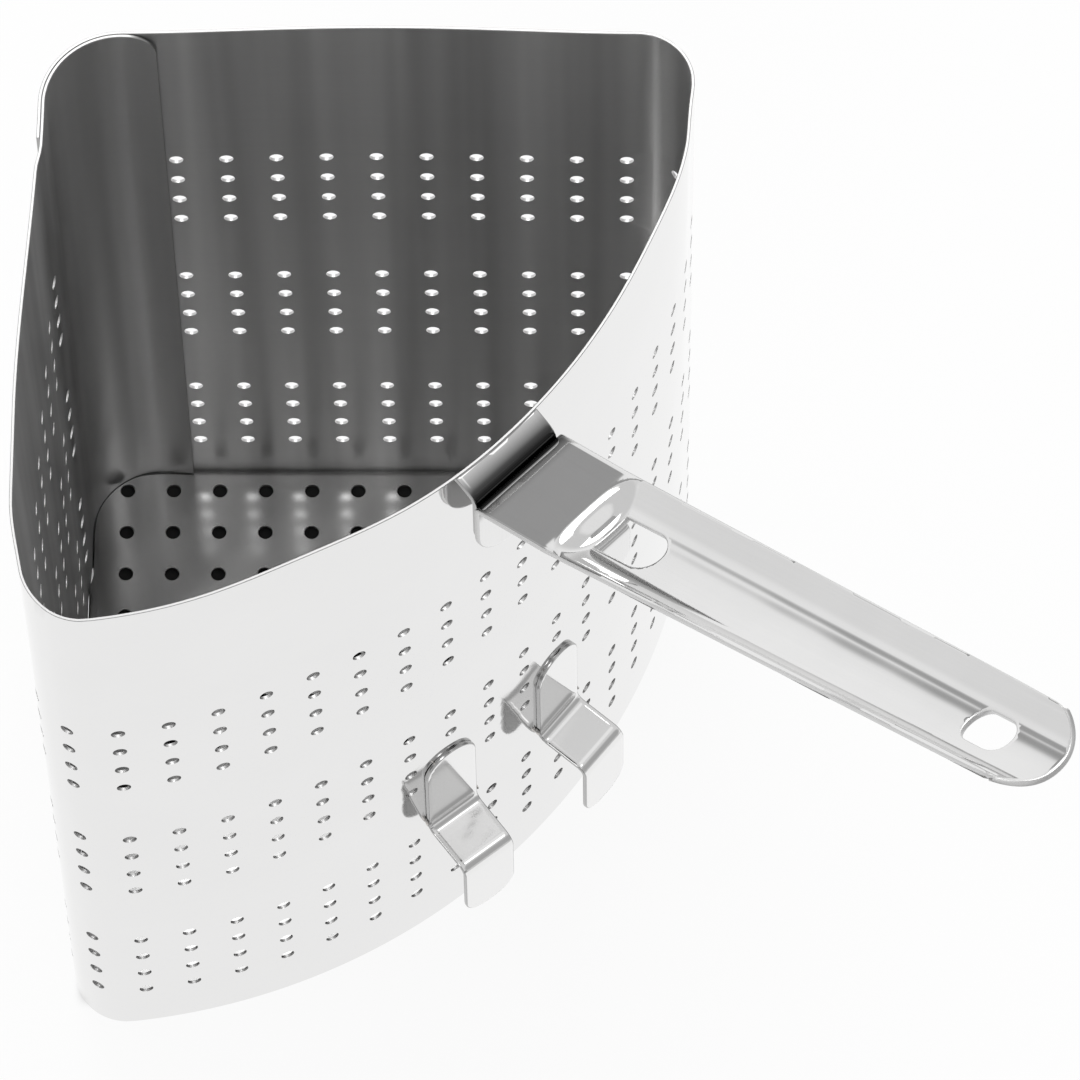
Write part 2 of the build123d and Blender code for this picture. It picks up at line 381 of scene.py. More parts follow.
@dataclass(frozen=True)
class SteelFinish:
    """Bare stainless steel with a drawn grain, faint smudges and fine scratches.

    Lengths are in metres here, and scales count features in a metre.

    Args:
        name: the material's name.
        level: linear brightness of the metal.
        variation: how far grain and smudges change it.
        warmth: how much red is above blue where it is brightest.
        roughness: its mean roughness.
        smudge: how far smudges change the roughness.
        grain_scale: scale of the fine grain along each axis.
        grain_depth: depth of the grain.
        grain_strength: how much of the grain's relief shows.
        streak_scale: scale of the broad streaks along each axis.
        streak: how far streaks change the brightness.
        ripple: depth of slow waves in the sheet, if any.
        ripple_scale: their scale.
        drawn: how far the grain draws reflections out up and down.
        glancing: how bright the metal stays when seen edge on.
        crease: X and Z of a line along Y, at a bend's crease, where the tint is painted dark as shade, if any.
        crease_shade_reach: distances from that line where the painted shade starts and stops to fade.
        crease_shade_level: brightness of the painted shade on that line.
        smudge_scale: scale of the smudges.
        wear_scale: scale of the fine wear.
    """

    name: str
    level: float = 0.8
    variation: float = 0.04
    warmth: float = 0.004
    roughness: float = 0.1
    smudge: float = 0.04
    grain_scale: Triple = (22.0, 22.0, 5200.0)
    grain_depth: float = 0.000004
    grain_strength: float = 0.1
    streak_scale: Triple = (90.0, 90.0, 3.0)
    streak: float = 0.0
    ripple: float = 0.0
    ripple_scale: float = 26.0
    drawn: float = 0.0
    glancing: float = 1.0
    crease: Optional[Pair] = None
    crease_shade_reach: Pair = (0.0006, 0.008)
    crease_shade_level: float = 0.07
    smudge_scale: float = 28.0
    wear_scale: float = 160.0

    def make(self) -> bpy.types.Material:
        """Builds the material.

        Returns:
            The finished material.
        """
        material = bpy.data.materials.new(self.name)
        tree = Tree(material)
        place = tree.place()
        grain = tree.noise(tree.stretched(place, self.grain_scale), 1.0, 3.0, 0.6)
        streaks = tree.noise(tree.stretched(place, self.streak_scale), 1.0, 2.0, 0.5)
        smudges = tree.noise(place, self.smudge_scale, 4.0, 0.55)
        wear = tree.noise(place, self.wear_scale, 5.0, 0.65)
        shade = (grain - 0.5) * (0.5 * self.variation) + (streaks - 0.5) * self.streak
        shade = shade + (smudges - 0.5) * self.variation
        light = (shade + 0.5).at_least(0.0).at_most(1.0)
        tint = tree.blend(light, grey(self.level * 0.5), grey(self.level * 1.5, self.warmth))
        # Painted shade: near the crease line the tint fades to a dark grey, standing in for the shade in the bend.
        if self.crease:
            x, z = tree.axis(place, "X") - self.crease[0], tree.axis(place, "Z") - self.crease[1]
            unshaded_share = (x * x + z * z).to_power(0.5).smooth(*self.crease_shade_reach)
            tint = tree.blend(unshaded_share, grey(self.crease_shade_level), tint)
        roughness = (smudges - 0.45) * self.smudge + (wear - 0.5) * (self.smudge * 0.6) + self.roughness
        under = None
        if self.ripple:
            under = tree.bump(tree.noise(place, self.ripple_scale, 1.0), self.ripple, 1.0)
        normal = tree.bump(grain, self.grain_depth, self.grain_strength, under)
        tree.metal(tint, roughness.at_least(0.02), normal, self.drawn, self.glancing)
        return material


@dataclass(frozen=True)
class WeldFinish:
    """The grey, slightly straw-coloured skin of a tack weld.

    Args:
        name: the material's name.
        level: linear brightness of the metal.
        lump_scale: how many lumps fit in a metre.
        lump_depth: how high they stand, in metres.
    """

    name: str
    level: float = 0.5
    lump_scale: float = 900.0
    lump_depth: float = 0.0002

    def make(self) -> bpy.types.Material:
        """Builds the material.

        Returns:
            The finished material.
        """
        material = bpy.data.materials.new(self.name)
        tree = Tree(material)
        lumps = tree.noise(tree.place(), self.lump_scale, 3.0, 0.6)
        tint = tree.blend(lumps.smooth(0.3, 0.7), grey(self.level * 0.45), grey(self.level * 1.4, 0.05))
        tree.metal(tint, lumps * 0.3 + 0.15, tree.bump(lumps, self.lump_depth, 0.5))
        return material


@dataclass(frozen=True)
class FloorFinish:
    """A pale floor that the camera and the metal see as white, with a faint shadow and a painted shadow under the pan.

    Lengths are in metres here.

    Args:
        name: the material's name.
        level: its linear brightness.
        shadow_share: how much of the lit floor, and so of the shadow, the camera sees.
        far_loss: how much darker the metal sees the floor far away, but for the camera's side.
        far_reach: distances from the pot's axis where that starts and is full.
        painted_shadow_level: brightness of the painted shadow under the pan.
        painted_shadow_radius: radius of that painted-shadow quarter.
        painted_shadow_apex: where the painted shadow starts, from the pot's axis.
        axis_shift: how far the pot's axis lies behind the frame's origin.
    """

    name: str = "studio_floor"
    level: float = 0.9
    shadow_share: float = 0.12
    far_loss: float = 0.55
    far_reach: Pair = (0.36, 1.1)
    painted_shadow_level: float = 0.05
    painted_shadow_radius: float = 0.158
    painted_shadow_apex: float = 0.0125
    axis_shift: float = 0.1636

    def make(self) -> bpy.types.Material:
        """Builds the material.

        Returns:
            The finished material.
        """
        material = bpy.data.materials.new(self.name)
        tree = Tree(material)
        place = tree.place()
        cloud = tree.noise(place, 3.0, 2.0)
        x, y = tree.axis(place, "X") + self.axis_shift, tree.axis(place, "Y")
        reach = (x * x + y * y).to_power(0.5)
        # Painted shadow: a dark quarter under the pan, which the camera and the metal both see as a dark matte grey.
        rounded = reach.smooth(self.painted_shadow_radius + 0.002, self.painted_shadow_radius - 0.004)
        under = rounded * (x - y.size()).smooth(0.004, 0.012) * x.smooth(self.painted_shadow_apex, self.painted_shadow_apex + 0.002)
        seen = tree.value("ShaderNodeLightPath", "Is Camera Ray") * (1.0 - self.shadow_share) * (1.0 - under)
        lit = tree.blend(cloud, grey(self.level * 0.985), grey(self.level))
        # Painted shadow: the floor's colour under the pan is dark grey.
        tint = tree.blend(under, lit, grey(self.painted_shadow_level))
        matte = tree.value("ShaderNodeBsdfDiffuse", "BSDF", None, {"Color": tint})
        metal = tree.value("ShaderNodeLightPath", "Is Glossy Ray") * (1.0 - under)
        behind = ((y * 0.5 - x * 0.85) / reach).smooth(0.4, 0.8)
        away = reach.smooth(*self.far_reach) * (1.0 - behind) * metal
        glow = tree.blend(away * self.far_loss, grey(1.0), grey(0.0))
        white = tree.value("ShaderNodeEmission", "Emission", None, {"Color": glow})
        share = seen.at_least(metal)
        shader = tree.value("ShaderNodeMixShader", "Shader", None, {0: share, 1: matte, 2: white})
        tree.add("ShaderNodeOutputMaterial", None, {"Surface": shader})
        return material


OUTER_SKIN = SteelFinish("outer_skin", level=0.79, roughness=0.045, smudge=0.03, ripple=0.00012)
INNER_SKIN = SteelFinish(
    "inner_skin",
    level=0.68,
    roughness=0.335,
    drawn=0.75,
    glancing=0.5,
    smudge=0.02,
    variation=0.08,
    streak=1.1,
    streak_scale=(80.0, 80.0, 1.6),
    grain_scale=(7.0, 7.0, 430.0),
    grain_depth=0.000006,
    grain_strength=0.25,
)
CUT_EDGE = SteelFinish("cut_edge", level=0.68, roughness=0.42, grain_strength=0.3)
RIM_EDGE = SteelFinish("rim_edge", level=0.4, roughness=0.3)
TRIMMED_EDGE = SteelFinish("trimmed_edge", level=0.42, variation=0.3, roughness=0.2, smudge=0.1)
# Painted shade: a dark finish for the undersides of the rim bracket and the hooks, which face the wall and lie in
# shade.
SHADED_SKIN = SteelFinish("shaded_skin", level=0.3, variation=0.1, roughness=0.33, smudge=0.02)
PLATE_SKIN = SteelFinish(
    "plate_skin",
    level=0.45,
    roughness=0.17,
    smudge=0.1,
    variation=0.16,
    grain_scale=(900.0, 900.0, 900.0),
    streak_scale=(46.0, 7.0, 40.0),
    streak=0.8,
)
PRESSED_SKIN = SteelFinish(
    "pressed_skin",
    level=0.78,
    # painted shade along the crease where the rim bracket's knee meets the handle's bend
    crease=(0.0056, 0.2352),
    roughness=0.06,
    smudge=0.05,
    variation=0.12,
    grain_scale=(18.0, 3200.0, 18.0),
    streak_scale=(8.0, 260.0, 8.0),
    ripple=0.00016,
)
HOOK_SKIN = SteelFinish(
    "hook_skin",
    level=0.83,
    roughness=0.09,
    smudge=0.05,
    grain_scale=(1800.0, 1800.0, 30.0),
    streak_scale=(200.0, 200.0, 9.0),
    ripple=0.00012,
)
WELD_SKIN = WeldFinish("weld_skin")


# Meshes


class MeshDraft:
    """Collects the points and faces of one piece before it becomes an object."""

    def __init__(self, name: str, finishes: Sequence[Union[SteelFinish, WeldFinish]]) -> None:
        """Starts an empty draft.

        Args:
            name: the piece's name.
            finishes: its finishes, which faces name by place.
        """
        self.name = name
        self.finishes = finishes
        self.points: List[Vector] = []
        self.faces: List[Sequence[int]] = []
        self.looks: List[int] = []
        self._known: Dict[Any, int] = {}

    def point(self, place: Vector, key: Any = None) -> int:
        """Adds a point, or finds the one already added under its key.

        Args:
            place: where the point is, in millimetres.
            key: what a shared point is known by.

        Returns:
            The point's number.
        """
        if key is not None and key in self._known:
            return self._known[key]
        self.points.append(place)
        if key is not None:
            self._known[key] = len(self.points) - 1
        return len(self.points) - 1

    def face(self, corners: Sequence[int], look: int = 0, turned: bool = False) -> None:
        """Adds a face, leaving out corners that fall together.

        Args:
            corners: its points in order.
            look: its finish.
            turned: reverses the order.
        """
        kept = [c for place, c in enumerate(corners) if c != corners[place - 1]]
        if len(kept) > 2:
            self.faces.append(kept[::-1] if turned else kept)
            self.looks.append(int(look))

    def band(
        self,
        first: Sequence[int],
        second: Sequence[int],
        look: int = 0,
        closed: bool = True,
        turned: bool = False,
    ) -> None:
        """Joins two rows of points of the same length.

        Args:
            first: one row.
            second: the other.
            look: the finish.
            closed: joins the ends too.
            turned: reverses the faces.
        """
        count = len(first)
        for place in range(count if closed else count - 1):
            after = (place + 1) % count
            self.face((first[place], first[after], second[after], second[place]), look, turned)

    def bands(
        self, rows: Sequence[Sequence[int]], look: int = 0, closed: bool = True, turned: bool = False
    ) -> None:
        """Joins each row of points with the next.

        Args:
            rows: the rows.
            look: the finish.
            closed: joins the ends too.
            turned: reverses the faces.
        """
        for first, second in zip(rows, rows[1:]):
            self.band(first, second, look, closed, turned)

    def build(self, slot: Slot, replaced: Sequence[str], crease: float = 38.0) -> bpy.types.Object:
        """Makes the object and sets it in the frame.

        Args:
            slot: the record's material slot; not used.
            replaced: the solids that it stands for.
            crease: the angle in degrees from which an edge is sharp.

        Returns:
            The object.
        """
        mesh = bpy.data.meshes.new(self.name)
        mesh.from_pydata([tuple(point * METRES) for point in self.points], [], self.faces)
        for finish in self.finishes:
            mesh.materials.append(MATERIALS.of(finish))
        mesh.polygons.foreach_set("material_index", self.looks)
        mesh.polygons.foreach_set("use_smooth", [True] * len(self.faces))
        mesh.validate()
        mesh.set_sharp_from_angle(angle=math.radians(crease))
        mesh.update()
        piece = bpy.data.objects.new(self.name, mesh)
        bpy.context.scene.collection.objects.link(piece)
        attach(piece, "root")
        if replaced:
            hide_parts(*replaced)
        LOG.info("%s: %d points, %d faces", self.name, len(mesh.vertices), len(mesh.polygons))
        return piece


class MaterialShelf:
    """Makes each finish once."""

    def __init__(self) -> None:
        """Starts with an empty shelf."""
        self._made: Dict[str, bpy.types.Material] = {}

    def of(self, finish: Any) -> bpy.types.Material:
        """Looks a finish up, and makes it on first use.

        Args:
            finish: the finish.

        Returns:
            Its material.
        """
        if finish.name not in self._made:
            self._made[finish.name] = finish.make()
        return self._made[finish.name]


MATERIALS = MaterialShelf()


def eased(share: float) -> float:
    """Goes softly from 0 to 1 as a share does, and stays there beyond."""
    share = min(1.0, max(0.0, share))
    return share * share * (3 - 2 * share)


def ring(centre: Pair, radii: Pair, count: int) -> List[Pair]:
    """Points round an ellipse, anticlockwise.

    Args:
        centre: its centre.
        radii: its half sizes.
        count: how many points.

    Returns:
        The points.
    """
    turns = [2 * math.pi * place / count for place in range(count)]
    return [(centre[0] + radii[0] * math.cos(turn), centre[1] + radii[1] * math.sin(turn)) for turn in turns]


def rounded(corners: Sequence[Pair], radii: Sequence[float], step: float) -> List[Pair]:
    """A closed outline with rounded corners, cut into short runs.

    Args:
        corners: its corners, anticlockwise.
        radii: the rounding at each.
        step: the longest run.

    Returns:
        The outline's points.
    """
    stops: List[Pair] = []
    count = len(corners)
    for place, corner in enumerate(corners):
        here = Vector(corner)
        back = (Vector(corners[place - 1]) - here).normalized()
        on = (Vector(corners[(place + 1) % count]) - here).normalized()
        half = math.acos(max(-1.0, min(1.0, back.dot(on)))) / 2
        radius = radii[place]
        reach = radius / math.tan(half)
        middle = here + (back + on).normalized() * (radius / math.sin(half))
        start, sweep = here + back * reach, math.pi - 2 * half
        pieces = max(2, math.ceil(sweep * radius / min(step, radius * 0.35 + 0.05)))
        arm = start - middle
        turn = sweep if back.x * on.y - back.y * on.x < 0 else -sweep
        for cut in range(pieces + 1):
            angle = turn * cut / pieces
            cosine, sine = math.cos(angle), math.sin(angle)
            stops.append((middle.x + arm.x * cosine - arm.y * sine, middle.y + arm.x * sine + arm.y * cosine))
    return divided(stops, step)


def divided(loop: Sequence[Pair], step: float) -> List[Pair]:
    """Cuts a closed outline into short runs and leaves doubled points out.

    Args:
        loop: the outline.
        step: the longest run.

    Returns:
        The outline's points.
    """
    result: List[Pair] = []
    for place, start in enumerate(loop):
        run = Vector(loop[(place + 1) % len(loop)]) - Vector(start)
        pieces = max(1, math.ceil(run.length / step - 1e-6))
        if run.length > 1e-5:
            result += [(start[0] + run.x * cut / pieces, start[1] + run.y * cut / pieces) for cut in range(pieces)]
    return result


def inset(loop: Sequence[Pair], depth: float) -> List[Pair]:
    """Draws an outline in.

    Args:
        loop: the outline, anticlockwise.
        depth: how far, or how far out if it is below zero.

    Returns:
        The new outline, with as many points.
    """
    result = []
    for place, here in enumerate(loop):
        run = Vector(loop[(place + 1) % len(loop)]) - Vector(loop[place - 1])
        run.normalize()
        result.append((here[0] - run.y * depth, here[1] + run.x * depth))
    return result


def holds(loop: Sequence[Pair], spot: Pair) -> bool:
    """Tells whether an outline holds a spot.

    Args:
        loop: the outline.
        spot: the spot.

    Returns:
        True if the spot lies within.
    """
    inside = False
    for place, (x, y) in enumerate(loop):
        before = loop[place - 1]
        if (y > spot[1]) != (before[1] > spot[1]):
            if spot[0] < (before[0] - x) * (spot[1] - y) / (before[1] - y) + x:
                inside = not inside
    return inside


@dataclass
class Blank:
    """A flat piece of sheet with holes, cut and then bent over a surface.

    Args:
        outline: its outer edge, anticlockwise.
        holes: the edges of its holes, anticlockwise.
        spacing: the spacing of the points within, along both axes.
        thickness: the sheet's thickness.
        edge_round: the rounding of its edges.
        clear_share: how near to an edge the points within may lie, as a share of their spacing.
        sliver: the doubled area under which a triangle is kept only if the sheet would open without it.
        reach: how far apart the places are that give the surface's slope.
    """

    outline: List[Pair]
    holes: List[List[Pair]] = field(default_factory=list)
    spacing: Pair = (1.0, 1.0)
    thickness: float = 1.6
    edge_round: float = 0.3
    clear_share: float = 0.45
    sliver: float = 0.002
    reach: float = 0.02

    def cut(self) -> Tuple[List[Pair], List[Tuple[int, ...]], List[List[int]]]:
        """Cuts the flat skin into triangles.

        Returns:
            Its points, its triangles, and the points of each edge loop.
        """
        loops = [inset(self.outline, self.edge_round)] + [inset(hole, -self.edge_round) for hole in self.holes]
        spots: List[Pair] = [spot for loop in loops for spot in loop]
        edges, runs, first = [], [], 0
        for loop in loops:
            runs.append(list(range(first, first + len(loop))))
            edges += [(first + place, first + (place + 1) % len(loop)) for place in range(len(loop))]
            first += len(loop)
        clear = self.clear_share * min(self.spacing)
        rims = [inset(loops[0], clear)] + [inset(hole, -clear) for hole in loops[1:]]
        boxes = []
        for rim in rims:
            easts, norths = [spot[0] for spot in rim], [spot[1] for spot in rim]
            boxes.append((min(easts), max(easts), min(norths), max(norths)))

        def within(spot: Pair, limits: Sequence[Sequence[Pair]], bounds: Sequence[Sequence[float]]) -> bool:
            """Tells whether a spot lies on the sheet.

            Args:
                spot: the spot.
                limits: the sheet's outline, then those of its holes.
                bounds: the boxes that hold them.

            Returns:
                True if it does.
            """
            if not holds(limits[0], spot):
                return False
            for limit, (x0, x1, y0, y1) in zip(limits[1:], bounds[1:]):
                if x0 <= spot[0] <= x1 and y0 <= spot[1] <= y1 and holds(limit, spot):
                    return False
            return True

        x0, x1, y0, y1 = boxes[0]
        across = max(1, round((x1 - x0) / self.spacing[0]))
        up = max(1, round((y1 - y0) / self.spacing[1]))
        for column in range(across + 1):
            for row in range(up + 1):
                spot = (x0 + (x1 - x0) * column / across, y0 + (y1 - y0) * row / up)
                if within(spot, rims, boxes):
                    spots.append(spot)
        made = delaunay_2d_cdt([Vector(spot) for spot in spots], edges, [], 0, 1e-6)
        places = {old: new for new, olds in enumerate(made[3]) for old in olds}
        flat = [(point.x, point.y) for point in made[0]]
        sealed = {frozenset(places[corner] for corner in edge) for edge in edges}
        uses: Counter = Counter()
        triangles, slivers = [], []

        def keep(triangle: Sequence[int]) -> None:
            """Keeps a triangle and counts its sides inside the sheet."""
            triangles.append(tuple(triangle))
            uses.update(frozenset((triangle[place], triangle[place - 1])) for place in range(3))

        for triangle in made[2]:
            (ax, ay), (bx, by), (cx, cy) = (flat[corner] for corner in triangle)
            if abs((bx - ax) * (cy - ay) - (cx - ax) * (by - ay)) < self.sliver:
                slivers.append(triangle)
            elif within(((ax + bx + cx) / 3, (ay + by + cy) / 3), loops, boxes):
                keep(triangle)
        for sliver in slivers * 2:
            sides = [frozenset((sliver[place], sliver[place - 1])) for place in range(3)]
            if tuple(sliver) not in triangles and any(side not in sealed and uses[side] == 1 for side in sides):
                keep(sliver)
        return flat, triangles, [[places[spot] for spot in run] for run in runs]

    def form(self, draft: MeshDraft, surface: Surface, look: int = 0, under: int = 0, edge: int = 0) -> None:
        """Bends the blank over a surface and adds it to a draft.

        Args:
            draft: the piece's draft.
            surface: gives the place of a flat spot on the visible side.
            look: the finish of the visible side.
            under: the finish of the other side.
            edge: the finish of the cut edges.
        """
        flat, triangles, runs = self.cut()

        def lifted(spot: Pair, depth: float) -> Vector:
            """Finds a place in the bent sheet.

            Args:
                spot: the spot on the flat sheet.
                depth: the depth below the visible side.

            Returns:
                The place.
            """
            (x, y), reach = spot, self.reach
            along = surface(x + reach, y) - surface(x - reach, y)
            across = surface(x, y + reach) - surface(x, y - reach)
            return surface(x, y) - along.cross(across).normalized() * depth

        top = [draft.point(lifted(spot, 0.0)) for spot in flat]
        bottom = [draft.point(lifted(spot, self.thickness)) for spot in flat]
        for triangle in triangles:
            draft.face([top[c] for c in triangle], look)
            draft.face([bottom[c] for c in triangle], under, turned=True)
        deep, bite = self.edge_round, 0.3 * self.edge_round
        profile = [(bite, bite), (0.0, deep), (0.0, self.thickness - deep), (bite, self.thickness - bite)]
        for place, loop in enumerate([self.outline] + self.holes):
            sign = 1.0 if place == 0 else -1.0
            rows = [[top[c] for c in runs[place]]]
            for inward, depth in profile:
                rows.append([draft.point(lifted(spot, depth)) for spot in inset(loop, inward * sign)])
            rows.append([bottom[c] for c in runs[place]])
            draft.bands(rows, edge, turned=place == 0)


@dataclass
class BentLine:
    """The side view of a bent strip: runs joined by arcs.

    Args:
        stops: the corners before rounding.
        radii: the rounding at each inner corner.
    """

    stops: Sequence[Pair]
    radii: Sequence[float]

    def __post_init__(self) -> None:
        """Lays out the runs and arcs."""
        self.parts: List[Tuple[float, float, Vector, Vector, float]] = []
        self.length = 0.0
        points = [Vector(stop) for stop in self.stops]
        here = points[0]
        for place, radius in enumerate(self.radii, 1):
            arrive = (points[place] - points[place - 1]).normalized()
            leave = (points[place + 1] - points[place]).normalized()
            turn = math.atan2(arrive.x * leave.y - arrive.y * leave.x, arrive.dot(leave))
            reach = radius * math.tan(abs(turn) / 2)
            start = points[place] - arrive * reach
            self._add((start - here).length, here, arrive, 0.0)
            self._add(abs(turn) * radius, start, arrive, turn)
            here = points[place] + leave * reach
        leave = (points[-1] - points[-2]).normalized()
        self._add((points[-1] - here).length, here, leave, 0.0)

    def _add(self, length: float, start: Vector, heading: Vector, turn: float) -> None:
        """Adds a run, or an arc if it turns."""
        self.parts.append((self.length, length, start, heading, turn))
        self.length += length

    def at(self, distance: float) -> Pair:
        """Finds a point of the side view, on past both ends too.

        Args:
            distance: the distance from its start.

        Returns:
            The point.
        """
        first, length, start, heading, turn = self.parts[0]
        for part in self.parts:
            if part[0] <= distance + CLOSE:
                first, length, start, heading, turn = part
        along = distance - first
        if not turn:
            return (start.x + heading.x * along, start.y + heading.y * along)
        radius, sign = length / abs(turn), math.copysign(1.0, turn)
        angle = along / radius
        side = Vector((-heading.y, heading.x)) * sign
        spot = start + heading * (radius * math.sin(angle)) + side * (radius * (1 - math.cos(angle)))
        return (spot.x, spot.y)


# The object's pieces


@dataclass
class QuarterPlan:
    """The wall's outline seen from above, with the pot's axis as its origin.

    Args:
        sheet: thickness of the wall's sheet.
        radius: outside radius of the front wall.
        setback: how far each straight wall stands inside its quarter line.
        apex_radius: rounding of the apex.
        corner_radius: rounding of the two front corners.
    """

    sheet: float = 0.8
    radius: float = 164.0
    setback: float = 3.5
    apex_radius: float = 20.0
    corner_radius: float = 14.0

    def __post_init__(self) -> None:
        """Works out where the runs and arcs meet."""
        self.shift = self.sheet / 2 - self.radius
        self.near = self.setback + self.apex_radius
        arm = self.radius - self.corner_radius
        self.far = math.sqrt(arm**2 - (self.setback + self.corner_radius) ** 2)
        self.lean = math.asin((self.setback + self.corner_radius) / arm)
        self.corner_sweep = math.pi / 2 + self.lean
        self.front_half = math.pi / 4 - self.lean
        self.apex_run = self.apex_radius * math.pi / 2
        self.corner_run = self.corner_radius * self.corner_sweep
        self.front_run = 2 * self.radius * self.front_half

    def on_wall(self, side: Side, distance: float) -> Tuple[Vector, Vector]:
        """A place on a straight wall's outside.

        Args:
            side: which wall.
            distance: how far out it is from the pot's axis.

        Returns:
            The place and the outward direction.
        """
        root = math.sqrt(0.5)
        out = Vector((root, side.value * root))
        outward = Vector((-root, side.value * root))
        return out * distance - outward * self.setback, outward

    def on_arc(self, centre: Vector, radius: float, angle: float) -> Tuple[Vector, Vector]:
        """A place on an arc, with its outward direction."""
        outward = Vector((math.cos(angle), math.sin(angle)))
        return centre + outward * radius, outward


